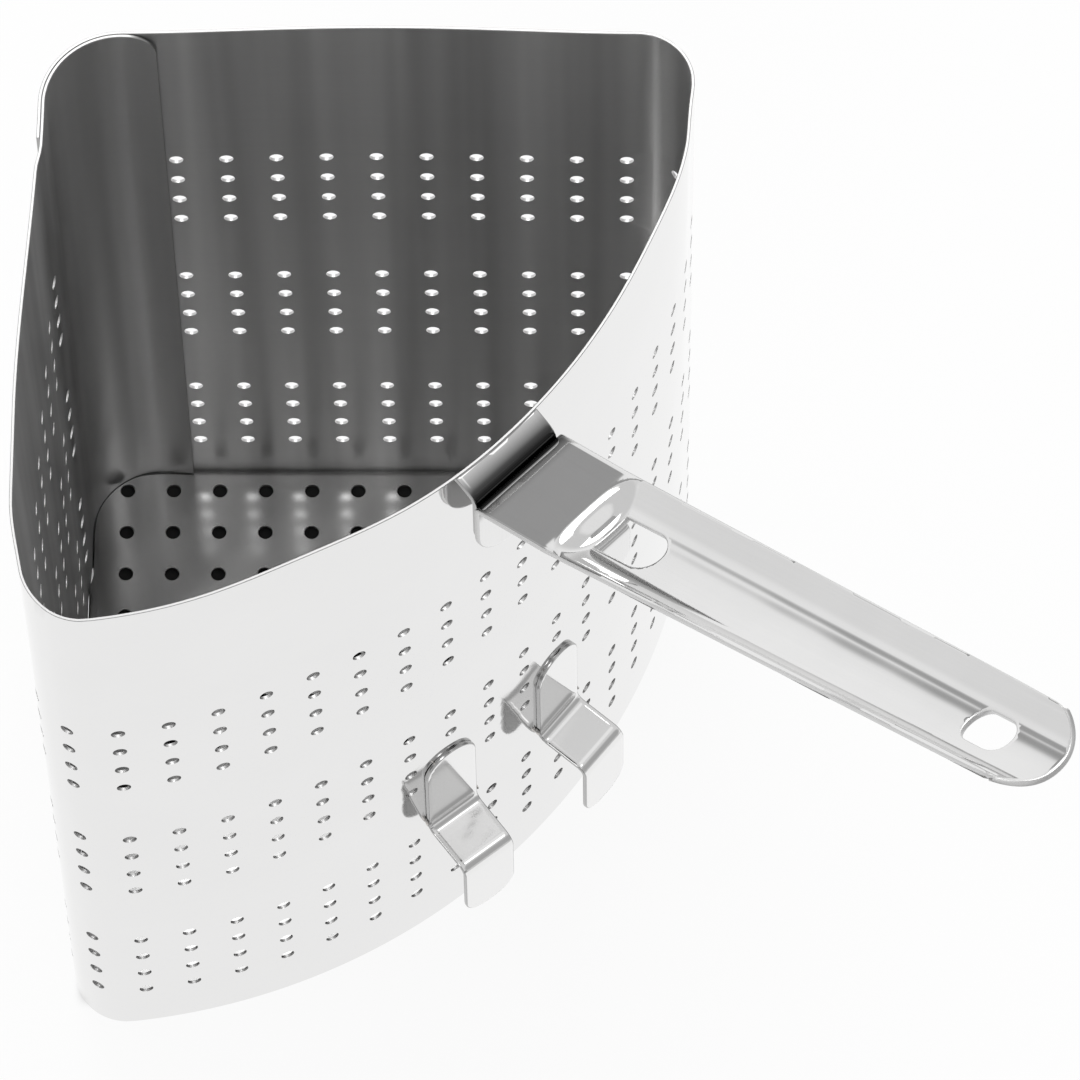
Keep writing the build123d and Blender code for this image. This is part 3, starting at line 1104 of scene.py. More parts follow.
@dataclass
class WrappedWall:
    """The perforated sheet wrapped round the plan, lapped at the apex.

    Args:
        plan: the outline.
        height: height of the wall.
        outer_end: where the sheet's outer end stops on the left wall.
        inner_end: where its inner end stops on the back wall.
        lap_rise: how far the lapped end starts above the pan.
        lap_gap: the slit between the two layers.
        lap_round: rounding of the lapped end's top corner.
        lap_lift: how far the lapped end springs off the wall.
        lift_run: the run over which it does.
        step_lead: how far before the lap the sheet starts to step in.
        step_run: the run over which it does.
        foot_zone: the height over which the lapped end's rise evens out.
        top_zone: the height over which the rounding of the top corner does.
        bow: how far the back wall swells out at the rim.
        left_bow: how far the left wall does.
        bow_start: the run from the left corner over which that grows.
        bow_end: the run to the apex over which it fades.
        bow_power: how the swelling grows with height.
        front_dent: how far the front wall is pressed in left of the handle.
        dent_angle: where, as an angle round the pot's axis.
        dent_spread: how wide.
        front_bulge: how far it stands out near the right corner.
        bulge_angle: where.
        bulge_spread: how wide.
        front_shift: how far the front's columns lie off its middle.
        column_counts: how many columns the back, front and left walls have.
        back_first: distance of the back wall's first column from the pot's axis.
        left_first: distance of the left wall's first column from the pot's axis.
        corner_half: half the width of the back corner's cells.
        left_corner_columns: the left corner's columns, as run before the left wall and half width.
        hole_radius: radius of the holes.
        pitch: spacing of the columns.
        row_pitch: spacing of the rows in a band.
        first_row: height of the lowest row.
        band_pitch: spacing of the three bands.
        bands: how many there are.
        band_rows: how many rows a band has.
        rim_round: rounding of the rim's edges.
        half_span: the farthest that the corners reach to either side.
        bend_step: longest step between points along a bend.
        fine_step: the same where the sheet bows near the lap.
        fine_from: where on the left wall that starts.
        long_step: the same on the flat.
        level_step: longest step up the sheet.
        clear: how far other stops stay off a hole's cell.
    """

    plan: QuarterPlan
    height: float = 240.0
    outer_end: float = 33.0
    inner_end: float = 31.5
    lap_rise: float = 2.7
    lap_gap: float = 0.06
    lap_round: float = 7.0
    lap_lift: float = 0.7
    lift_run: float = 9.0
    step_lead: float = 9.0
    step_run: float = 7.0
    foot_zone: float = 12.0
    top_zone: float = 20.0
    bow: float = 1.6
    left_bow: float = 3.9
    bow_start: float = 30.0
    bow_end: float = 84.0
    bow_power: float = 1.3
    front_dent: float = 2.0
    dent_angle: float = -0.34
    dent_spread: float = 0.16
    front_bulge: float = 1.3
    bulge_angle: float = 0.54
    bulge_spread: float = 0.1
    front_shift: float = 0.8
    column_counts: Tuple[int, int, int] = (10, 18, 9)
    back_first: float = 34.0
    left_first: float = 138.8
    corner_half: float = 3.0
    left_corner_columns: Tuple[Pair, Pair] = ((15.0, 3.0), (2.5, 2.9))
    hole_radius: float = 1.78
    pitch: float = 12.5
    row_pitch: float = 10.35
    first_row: float = 20.0
    band_pitch: float = 62.1
    bands: int = 3
    band_rows: int = 4
    rim_round: float = 0.14
    half_span: float = 106.9
    bend_step: float = 1.3
    fine_step: float = 1.5
    fine_from: float = 100.0
    long_step: float = 6.0
    level_step: float = 8.0
    clear: float = 0.2

    def __post_init__(self) -> None:
        """Lays the parts of the wrapped sheet end to end."""
        plan = self.plan
        straight = plan.far - plan.near
        runs = [
            self.outer_end - plan.near,
            plan.apex_run,
            straight,
            plan.corner_run,
            plan.front_run,
            plan.corner_run,
            straight,
            plan.apex_run,
            self.inner_end - plan.near,
        ]
        self.starts = [sum(runs[:place]) for place in range(len(runs) + 1)]

    def part_at(self, run: float) -> Part:
        """The part of the sheet at a run."""
        return Part(max(part for part in Part if self.starts[part] <= run + CLOSE))

    def outline(self, run: float) -> Tuple[Vector, Vector, float]:
        """The sheet's outer face along its run, before the lap steps in.

        Args:
            run: the distance along the sheet from its outer end.

        Returns:
            The place, the outward direction, and how far the rim stands out there.
        """
        plan, starts = self.plan, self.starts
        part = self.part_at(run)
        along = run - starts[part]
        quarter = math.pi / 4
        if part in (Part.OUTER_APEX, Part.INNER_APEX):
            apex = Vector((plan.near * math.sqrt(2), 0.0))
            spot, outward = plan.on_arc(apex, plan.apex_radius, -3 * quarter - along / plan.apex_radius)
            return spot, outward, 0.0
        corner = starts[Part.LEFT_CORNER] + plan.corner_radius * (math.pi / 2 - plan.front_half)
        left = self.left_bow * eased((run - corner) / self.bow_start)
        left *= eased((starts[Part.INNER_APEX] - run) / self.bow_end)
        if part in (Part.BACK_CORNER, Part.LEFT_CORNER):
            turn = plan.front_half if part is Part.BACK_CORNER else -plan.front_half
            centre = Vector((math.cos(turn), math.sin(turn))) * (plan.radius - plan.corner_radius)
            angle = (3 * quarter if part is Part.BACK_CORNER else turn) - along / plan.corner_radius
            spot, outward = plan.on_arc(centre, plan.corner_radius, angle)
            return spot, outward, left if part is Part.LEFT_CORNER else 0.0
        if part is Part.FRONT:
            turn = plan.front_half - along / plan.radius
            spot, outward = plan.on_arc(Vector((0.0, 0.0)), plan.radius, turn)
            dent = self.front_dent * math.exp(-(((turn - self.dent_angle) / self.dent_spread) ** 2))
            bulge = self.front_bulge * math.exp(-(((turn - self.bulge_angle) / self.bulge_spread) ** 2))
            return spot, outward, bulge * eased((plan.front_half - turn) / self.bulge_spread) - dent
        if part in (Part.BACK, Part.INNER_END):
            distance = plan.near + along
            spot, outward = plan.on_wall(Side.BACK, distance)
            share = (distance - plan.near) / (plan.far - plan.near)
            return spot, outward, self.bow * 16 * (share * (1 - share)) ** 2
        distance = (plan.far if part is Part.LEFT else self.outer_end) - along
        spot, outward = plan.on_wall(Side.LEFT, distance)
        if part is Part.OUTER_END:
            left = self.left_bow * eased((distance - plan.near) / self.bow_end)
        return spot, outward, left

    def step(self, run: float) -> float:
        """How far the lapped end has stepped in behind the outer layer.

        Args:
            run: the distance along the sheet.

        Returns:
            The depth.
        """
        end = self.starts[Part.INNER_APEX] - (self.outer_end - self.plan.near)
        return (self.plan.sheet + self.lap_gap) * eased((run - (end - self.step_lead)) / self.step_run)

    def place(self, run: float, level: float, depth: float) -> Vector:
        """A point of the wrapped sheet.

        Args:
            run: the distance along the sheet.
            level: the height on the flat sheet.
            depth: the depth below its outer face.

        Returns:
            The point in the frame of the solids.
        """
        spot, outward, swell = self.outline(run)
        inward = self.step(run)
        low, zone = self.lap_rise * inward / (self.plan.sheet + self.lap_gap), self.foot_zone
        if level < zone:
            level = low + level * (zone - low) / zone
        left, above = self.starts[-1] - run, level - self.height + self.top_zone
        if left < self.lap_round and above > 0.0:
            rest = self.lap_round - math.sqrt(max(0.0, self.lap_round**2 - (self.lap_round - left) ** 2))
            level -= rest * above / self.top_zone
        lift = max(0.0, 1.0 - left / self.lift_run)
        inward += self.lap_lift * lift * lift
        spot = spot + outward * (swell * (max(level, 0.0) / self.height) ** self.bow_power - inward - depth)
        across = min(self.half_span, max(-self.half_span, spot.y))
        return Vector((spot.x + self.plan.shift, across, level))

    def columns(self) -> List[Tuple[float, float]]:
        """Lays out the columns of holes.

        Returns:
            Each column's run and half the width of its cell.
        """
        plan, starts, half = self.plan, self.starts, self.pitch / 2
        back, front, left = self.column_counts
        result = [(starts[Part.BACK] + self.back_first - plan.near + self.pitch * place, half) for place in range(back)]
        result.append((starts[Part.BACK_CORNER] + plan.corner_run / 2, self.corner_half))
        middle = starts[Part.FRONT] + plan.front_run / 2 - self.front_shift
        result += [(middle + self.pitch * (place - (front - 1) / 2), half) for place in range(front)]
        result += [(starts[Part.LEFT] - before, cell) for before, cell in self.left_corner_columns]
        first = starts[Part.LEFT] + plan.far - self.left_first
        return result + [(first + self.pitch * place, half) for place in range(left)]

    def rows(self) -> List[float]:
        """The heights of the rows of holes."""
        bands = [self.first_row + band * self.band_pitch for band in range(self.bands)]
        return [band + row * self.row_pitch for band in bands for row in range(self.band_rows)]

    @staticmethod
    def filled(stops: List[float], longest: Callable[[float], float]) -> List[float]:
        """Adds even stops between others where they lie too far apart.

        Args:
            stops: the stops, in order.
            longest: gives the longest step allowed at a place.

        Returns:
            All the stops, in order.
        """
        result = [stops[0]]
        for start, end in zip(stops, stops[1:]):
            pieces = max(1, math.ceil((end - start) / longest((start + end) / 2) - 1e-6))
            result += [start + (end - start) * cut / pieces for cut in range(1, pieces + 1)]
        return result

    def build(self) -> bpy.types.Object:
        """Builds the wall on one grid of runs and levels, with a cell left open for each hole.

        Returns:
            The wall's object.
        """
        draft = MeshDraft("wrapped_wall", (OUTER_SKIN, INNER_SKIN, CUT_EDGE, RIM_EDGE))
        sheet, steps = self.plan.sheet, (-1.0, -math.tan(math.pi / 6), -math.tan(math.pi / 12), 0.0)
        shares = [*steps, *[-share for share in steps[-2::-1]]]
        columns, rows, reach = self.columns(), self.rows(), self.row_pitch / 2
        taken = [(centre - half, centre + half) for centre, half in columns]
        fine = (self.starts[Part.LEFT] + self.fine_from, self.starts[Part.INNER_APEX])

        def crowded(run: float) -> float:
            """Finds the longest step allowed at a run.

            Args:
                run: the distance along the sheet.

            Returns:
                The step.
            """
            if any(low < run < high for low, high in taken):
                return 2 * self.pitch
            if self.part_at(run) in (Part.OUTER_APEX, Part.BACK_CORNER, Part.LEFT_CORNER, Part.INNER_APEX):
                return self.bend_step
            return self.fine_step if run > self.starts[Part.INNER_END] or fine[0] < run < fine[1] else self.long_step

        def in_cell(run: float) -> bool:
            """Whether a stop lies in a hole's cell, or nearly."""
            return any(low - self.clear < run < high + self.clear for low, high in taken)

        runs = {round(stop, DIGITS) for stop in self.starts}
        runs = {run for run in runs if not in_cell(run)}
        for centre, half in columns:
            runs |= {round(centre + half * share, DIGITS) for share in shares}
        turns = [turn * math.pi / 12 for turn in range(1, 6)]
        runs |= {round(self.starts[-1] - self.lap_round * (1 - math.cos(turn)), DIGITS) for turn in turns}
        run_stops = self.filled(sorted(runs), crowded)
        levels = {0.0, self.height - self.top_zone, self.height - self.rim_round}
        for row in rows:
            levels |= {round(row + reach * share, DIGITS) for share in shares}
        level_stops = self.filled(sorted(levels), lambda level: self.level_step)

        def nearest(stops: Sequence[float], value: float) -> int:
            """The place of the stop nearest to a value."""
            after = min(max(bisect_left(stops, value), 1), len(stops) - 1)
            return after if stops[after] - value < value - stops[after - 1] else after - 1

        def point(run: float, level: float, inner: bool) -> int:
            """A shared point of one skin."""
            key = (nearest(run_stops, run), nearest(level_stops, level), inner)
            return draft.point(self.place(run_stops[key[0]], level_stops[key[1]], sheet if inner else 0.0), key)

        def pierced(run: float, level: float) -> bool:
            """Whether a spot lies in the cell of a hole."""
            return any(low < run < high for low, high in taken) and any(abs(level - row) < reach for row in rows)

        for x0, x1 in zip(run_stops, run_stops[1:]):
            for z0, z1 in zip(level_stops, level_stops[1:]):
                if pierced((x0 + x1) / 2, (z0 + z1) / 2):
                    continue
                for inner in (False, True):
                    corners = [point(x, z, inner) for x, z in ((x0, z0), (x1, z0), (x1, z1), (x0, z1))]
                    draft.face(corners, WallLook.INNER if inner else WallLook.OUTER, turned=not inner)
        for centre, half in columns:
            for row in rows:
                self._punch(draft, point, (round(centre, DIGITS), round(row, DIGITS)), half, shares)
        self._trim(draft, point, run_stops, level_stops)
        walls = ("back_wall", "left_wall", "front_wall")
        bends = ("back_corner_bend", "left_corner_bend", "apex_bend", "apex_lap")
        return draft.build(Slot.POLISHED, walls + bends)

    def _punch(
        self, draft: MeshDraft, point: Callable[..., int], centre: Pair, half: float, shares: Sequence[float]
    ) -> None:
        """Adds the cell of one hole.

        Args:
            draft: the wall's draft.
            point: finds a shared point of one skin.
            centre: the hole's run and height.
            half: half the cell's width.
            shares: the stops along the cell's sides.
        """
        rise = self.row_pitch / 2
        frame = [(1.0, share) for share in shares[:-1]] + [(-share, 1.0) for share in shares[:-1]]
        frame += [(-1.0, -share) for share in shares[:-1]] + [(share, -1.0) for share in shares[:-1]]
        rims = []
        for inner in (False, True):
            outer, rim = [], []
            for a, b in frame:
                outer.append(point(round(centre[0] + half * a, DIGITS), round(centre[1] + rise * b, DIGITS), inner))
                turn = math.atan2(b, a)
                run = centre[0] + self.hole_radius * math.cos(turn)
                level = centre[1] + self.hole_radius * math.sin(turn)
                rim.append(draft.point(self.place(run, level, self.plan.sheet if inner else 0.0)))
            draft.band(rim, outer, WallLook.INNER if inner else WallLook.OUTER, turned=inner)
            rims.append(rim)
        draft.band(rims[0], rims[1], WallLook.CUT, turned=True)

    def _trim(
        self, draft: MeshDraft, point: Callable[..., int], runs: Sequence[float], levels: Sequence[float]
    ) -> None:
        """Closes the rim, the foot and the two ends of the sheet.

        Args:
            draft: the wall's draft.
            point: finds a shared point of one skin.
            runs: the stops along the sheet.
            levels: the stops up the sheet.
        """
        rows = [[point(run, levels[-1], False) for run in runs]]
        for depth in (self.rim_round, self.plan.sheet - self.rim_round):
            rows.append([draft.point(self.place(run, self.height, depth)) for run in runs])
        rows.append([point(run, levels[-1], True) for run in runs])
        draft.bands(rows, WallLook.RIM, closed=False, turned=True)
        foot = [[point(run, 0.0, inner) for run in runs] for inner in (False, True)]
        draft.bands(foot, WallLook.CUT, closed=False)
        for place, turned in ((0, True), (-1, False)):
            draft.face([row[place] for row in rows], WallLook.RIM, turned)
            ends = [[point(runs[place], level, inner) for level in levels] for inner in (False, True)]
            draft.bands(ends, WallLook.RIM, closed=False, turned=turned)


@dataclass
class BottomPan:
    """The perforated pan with its rounded edge turned down inside the walls.

    Args:
        plan: the wall's outline.
        height: height of the pan's face.
        clearance: the gap between the pan's edge and the walls.
        edge_drop: how far the rounded edge falls.
        edge_run: how far it reaches inwards.
        edge_cuts: how many bands it has.
        apex_tight: how much less it reaches inwards at the apex.
        apex_reach: how far from the middle of the apex it does so.
        outline_points: how many points go round the pan.
        hole_radius: radius of the holes.
        hole_round: rounding of their edges.
        hole_points: how many points go round a hole.
        grid: how many holes a row could have.
        pitch: spacing of the holes.
        from_back: distance of the first row from the back quarter line.
        from_left: distance of the first column from the left quarter line.
        front_margin: how far the holes stay off the front wall.
        corner_margin: how much farther they stay off the front corners.
    """

    plan: QuarterPlan
    height: float = 2.5
    clearance: float = 0.15
    edge_drop: float = 1.7
    edge_run: float = 2.4
    edge_cuts: int = 8
    apex_tight: float = 0.56
    apex_reach: float = 10.0
    outline_points: int = 240
    hole_radius: float = 1.9
    hole_round: float = 0.12
    hole_points: int = 20
    grid: int = 12
    pitch: float = 12.25
    from_back: float = 10.9
    from_left: float = 14.1
    front_margin: float = 15.0
    corner_margin: float = 8.0

    def outline(self, depth: float) -> List[Pair]:
        """The pan's outline seen from above. The rounded edge is tighter at the apex, where a hole lies close to it.

        Args:
            depth: how far within the wall's outer faces it runs, but for the apex.

        Returns:
            The outline's points, anticlockwise.
        """
        wall = WrappedWall(self.plan)
        side = self.plan.sheet + self.clearance
        first, last = wall.starts[Part.OUTER_APEX], wall.starts[Part.INNER_APEX]
        apex = (first + wall.starts[Part.BACK]) / 2
        result = []
        for cut in range(self.outline_points):
            run = first + (last - first) * cut / self.outline_points
            spot, outward, _ = wall.outline(run)
            tight = 1 - self.apex_tight * eased(1.6 - abs(run - apex) / self.apex_reach)
            spot = spot - outward * (side + (depth - side) * tight)
            result.append((spot.x + self.plan.shift, spot.y))
        return result[::-1]

    def holes(self) -> List[List[Pair]]:
        """Lays out the holes of the square grid that lie inside the front margin.

        Returns:
            The edge of each hole.
        """
        root, limit = math.sqrt(0.5), self.plan.radius - self.front_margin
        result = []
        for column in range(self.grid):
            for row in range(self.grid):
                x, y = self.from_back + self.pitch * column, self.from_left + self.pitch * row
                if math.hypot(x, y) < limit and min(x, y) < limit - self.corner_margin:
                    centre = (root * (x + y) + self.plan.shift, root * (y - x))
                    result.append(ring(centre, (self.hole_radius, self.hole_radius), self.hole_points))
        return result

    def build(self) -> bpy.types.Object:
        """Builds the pan.

        Returns:
            The pan's object.
        """
        draft = MeshDraft("bottom_pan_formed", (PLATE_SKIN, CUT_EDGE))
        sheet, high, low = self.plan.sheet, self.height, self.height - self.plan.sheet
        side = sheet + self.clearance

        def laid(spots: Sequence[Pair], level: float) -> List[int]:
            """Adds level points."""
            return [draft.point(Vector((x, y, level))) for x, y in spots]

        face = Blank(self.outline(side + self.edge_run), self.holes(), (7.0, 7.0), sheet, self.hole_round)
        flat, triangles, runs = face.cut()
        tops, lows = laid(flat, high), laid(flat, low)
        for triangle in triangles:
            draft.face([tops[c] for c in triangle])
            draft.face([lows[c] for c in triangle], turned=True)
        for run, hole in zip(runs[1:], face.holes):
            wall = [laid(hole, high - self.hole_round), laid(hole, low + self.hole_round)]
            draft.bands([[tops[c] for c in run], *wall, [lows[c] for c in run]], 1)
        feet = []
        sides = ((tops, 0.0, high, self.edge_drop), (lows, sheet, low, self.edge_drop - sheet))
        for start, inward, lift, drop in sides:
            rows = [[start[c] for c in runs[0]]]
            for cut in range(1, self.edge_cuts + 1):
                turn = cut * math.pi / (2 * self.edge_cuts)
                depth = side + inward + (self.edge_run - inward) * (1 - math.sin(turn))
                rows.append(laid(self.outline(depth), lift - drop * (1 - math.cos(turn))))
            rows.append(laid(self.outline(side + inward), 0.0))
            draft.bands(rows, 0, turned=start is tops)
            feet.append(rows[-1])
        draft.bands(feet, 1, turned=True)
        return draft.build(Slot.BRUSHED, ("bottom_pan",))


@dataclass
class RimBracket:
    """The bent strip that hangs on the pot's rim and carries the handle.

    Args:
        plan: the wall's outline.
        sheet: thickness of the strip.
        width: its width.
        slot: the gap for the pot's rim.
        top: height of its bridge at the wall.
        fall: how far the bridge falls outwards.
        leg: length of the leg down the pot's outside.
        knee: rounding between bridge and leg.
        foot: rounding of the leg's corners.
        lead: how far within the front wall the side view starts.
        sink: how far the bridge goes into the wall's sheet.
        end_cuts: how many runs its fitted end has.
    """

    plan: QuarterPlan
    sheet: float = 1.6
    width: float = 27.0
    slot: float = 4.5
    top: float = 238.8
    fall: float = 2.8
    leg: float = 29.0
    knee: float = 5.0
    foot: float = 12.4
    lead: float = 3.0
    sink: float = 0.7
    end_cuts: int = 16

    def build(self) -> bpy.types.Object:
        """Builds the bracket.

        Returns:
            The bracket's object.
        """
        draft = MeshDraft("rim_bracket_formed", (PRESSED_SKIN, SHADED_SKIN, TRIMMED_EDGE))
        radius, half = self.plan.radius, self.width / 2
        out = radius + self.slot + self.sheet
        slope = self.fall / (self.slot + self.sheet)
        knee = self.top - self.fall
        start = (radius - self.lead, self.top + self.lead * slope)
        line = BentLine([start, (out, knee), (out, knee - self.leg)], [self.knee])
        tilt = math.hypot(1.0, slope)

        def seat(across: float) -> float:
            """Where the strip meets the round wall."""
            rise = radius - math.sqrt(radius**2 - across**2)
            return (self.lead - self.sink - rise) * tilt

        acrosses = [half - cut * self.width / self.end_cuts for cut in range(self.end_cuts + 1)]
        loop = [(seat(across), across) for across in acrosses]
        long, inner = line.length, half - self.foot
        for sign, turns in ((-1, range(13)), (1, range(12, -1, -1))):
            for turn in turns:
                angle = turn * math.pi / 24
                across = sign * (inner + self.foot * math.cos(angle))
                loop.append((long - self.foot + self.foot * math.sin(angle), across))
        blank = Blank(divided(loop, 1.0), [], (0.8, 1.2), self.sheet, 0.3)

        def surface(along: float, across: float) -> Vector:
            """The visible side of the strip."""
            x, z = line.at(along)
            return Vector((x + self.plan.shift, across, z))

        blank.form(draft, surface, look=0, under=1, edge=2)
        return draft.build(Slot.PRESSED, ("rim_bracket",))


@dataclass
class PressedHandle:
    """The handle: a flange, a flat base, and a troughed grip with a lanced tongue and a hanging hole.

    Args:
        plan: the wall's outline.
        sheet: thickness of the strip.
        width: its width at the base.
        tip_width: its width at the tip.
        slot_out: how far outside the front wall the flange stands.
        bend_height: height of the corner above the flange.
        drop: length of the flange.
        foot: rounding of the flange's corners.
        base: length of the flat base.
        base_rise: its slope, in degrees.
        grip: length from the base's end to the tip.
        grip_rise: its slope, in degrees.
        radii: rounding of the two bends.
        trough_start: where the trough starts, past the flange's bend, as all places along the handle.
        trough_ramp: the run over which it gets to its depth.
        trough_depth: its depth.
        trough_power: how flat its bottom is.
        trough_margin: how far it stays off the strip's edges.
        trough_narrow: how much narrower it is at its start.
        window_start: where the window starts.
        window_end: where it ends.
        window_width: its width.
        hang_from_tip: the hanging hole's distance from the tip.
        hang_size: its length and width.
        tongue: length of the tongue.
        tongue_width: its width.
        tongue_radius: rounding of its bend.
    """

    plan: QuarterPlan
    sheet: float = 1.6
    width: float = 29.0
    tip_width: float = 25.0
    slot_out: float = 6.1
    bend_height: float = 234.6
    drop: float = 28.6
    foot: float = 14.0
    base: float = 26.0
    base_rise: float = 27.2
    grip: float = 173.0
    grip_rise: float = 31.2
    radii: Pair = (2.6, 20.0)
    trough_start: float = 26.0
    trough_ramp: float = 6.6
    trough_depth: float = 4.4
    trough_power: float = 2.7
    trough_margin: float = 0.9
    trough_narrow: float = 4.2
    window_start: float = 33.5
    window_end: float = 52.5
    window_width: float = 11.0
    hang_from_tip: float = 24.3
    hang_size: Pair = (14.5, 9.5)
    tongue: float = 19.0
    tongue_width: float = 10.2
    tongue_radius: float = 2.4

    def __post_init__(self) -> None:
        """Lays out the side view."""
        out = self.plan.radius + self.slot_out
        rise, tilt = math.radians(self.base_rise), math.radians(self.grip_rise)
        kink = (out + self.base * math.cos(rise), self.bend_height + self.base * math.sin(rise))
        tip = (kink[0] + self.grip * math.cos(tilt), kink[1] + self.grip * math.sin(tilt))
        self.line = BentLine([(out, self.bend_height - self.drop), (out, self.bend_height), kink, tip], self.radii)
        self.bend = self.line.length - self.base - self.grip
        self.tilt = tilt

    def half_width(self, along: float) -> float:
        """Half the strip's width at a distance past the bend."""
        share = min(1.0, max(0.0, (along - self.base) / self.grip))
        return (self.width + (self.tip_width - self.width) * share) / 2

    def pressed(self, along: float, across: float) -> float:
        """How deep the trough is pressed at a spot past the bend.

        Args:
            along: the distance past the bend.
            across: the distance from the middle.

        Returns:
            The depth below the strip's flat face.
        """
        share = (along - self.trough_start) / self.trough_ramp
        narrow = max(0.0, min(1.0, 1.0 - share))
        edge = self.half_width(along) - self.trough_margin - self.trough_narrow * narrow * narrow
        gone = max(0.0, abs(across) / edge)
        if gone >= 1.0 or share <= 0.0:
            return 0.0
        return self.trough_depth * (1.0 - gone**self.trough_power) * eased(share)

    def surface(self, along: float, across: float) -> Vector:
        """The strip's visible side, trough and all.

        Args:
            along: the distance from the flange's foot.
            across: the distance from the middle.

        Returns:
            The place.
        """
        x, z = self.line.at(along)
        past = along - self.bend
        deep = self.pressed(past, across)
        if deep:
            x1, z1 = self.line.at(along + 0.05)
            run = Vector((x1 - x, z1 - z)).normalized()
            x, z = x + run.y * deep, z - run.x * deep
        return Vector((x + self.plan.shift, across, z))

    def outline(self) -> List[Pair]:
        """Draws the blank's outline: a round foot, tapered sides and a round tip.

        Returns:
            The outline's points, anticlockwise.
        """
        end, half, tip, foot = self.line.length, self.width / 2, self.tip_width / 2, self.foot
        turns = [turn * math.pi / 28 for turn in range(15)]
        loop = [(foot - foot * math.sin(turn), half - foot + foot * math.cos(turn)) for turn in turns]
        loop += [(foot - foot * math.cos(turn), -(half - foot) - foot * math.sin(turn)) for turn in turns]
        start = self.bend + self.base
        alongs = [start + (end - tip - start) * cut / 12 for cut in range(12)]
        loop += [(along, -self.half_width(along - self.bend)) for along in alongs]
        turns = [turn * math.pi / 40 for turn in range(41)]
        loop += [(end - tip + tip * math.sin(turn), -tip * math.cos(turn)) for turn in turns]
        loop += [(along, self.half_width(along - self.bend)) for along in alongs[::-1]]
        return divided(loop, 1.0)

    def build(self) -> bpy.types.Object:
        """Builds the handle with its tongue.

        Returns:
            The handle's object.
        """
        draft = MeshDraft("pressed_handle", (PRESSED_SKIN, CUT_EDGE))
        start, half = self.bend + self.window_start, self.window_width / 2
        middle = self.bend + self.window_end - half
        turns = [turn * math.pi / 24 for turn in range(1, 24)]
        window = [(start, half), (start, -half), (middle, -half)]
        window += [(middle + half * math.sin(turn), -half * math.cos(turn)) for turn in turns]
        window.append((middle, half))
        centre = (self.line.length - self.hang_from_tip, 0.0)
        long, wide = self.hang_size
        corners = [(centre[0] + a * long / 2, b * wide / 2) for a, b in ((-1, -1), (1, -1), (1, 1), (-1, 1))]
        hang = rounded(corners, [wide / 2 - 0.4] * 4, 0.7)
        blank = Blank(self.outline(), [divided(window, 0.8), hang], (0.9, 0.75), self.sheet, 0.32)
        blank.form(draft, self.surface, look=0, under=0, edge=1)
        self._hang_tongue(draft)
        return draft.build(Slot.PRESSED, ("handle",))

    def _hang_tongue(self, draft: MeshDraft) -> None:
        """Adds the tongue, bent straight down out of the trough's window.

        Args:
            draft: the handle's draft.
        """
        root = self.surface(self.bend + self.window_start, 0.0)
        run = Vector((math.cos(self.tilt), math.sin(self.tilt)))
        here = Vector((root.x, root.z))
        first, corner = here - run * 1.6, here + run * 1.7
        line = BentLine([tuple(first), tuple(corner), (corner.x, corner.y - self.tongue)], [self.tongue_radius])
        half, long = self.tongue_width / 2, line.length
        turns = [turn * math.pi / 20 for turn in range(1, 20)]
        loop = [(0.0, half), (0.0, -half), (long - half, -half)]
        loop += [(long - half + half * math.sin(turn), -half * math.cos(turn)) for turn in turns]
        loop.append((long - half, half))

        def surface(along: float, across: float) -> Vector:
            """The tongue's upper side."""
            x, z = line.at(along)
            return Vector((x, across, z - 0.04))

        blank = Blank(divided(loop, 0.7), [], (0.6, 0.9), self.sheet - 0.1, 0.25)
        blank.form(draft, surface, look=0, under=0, edge=1)


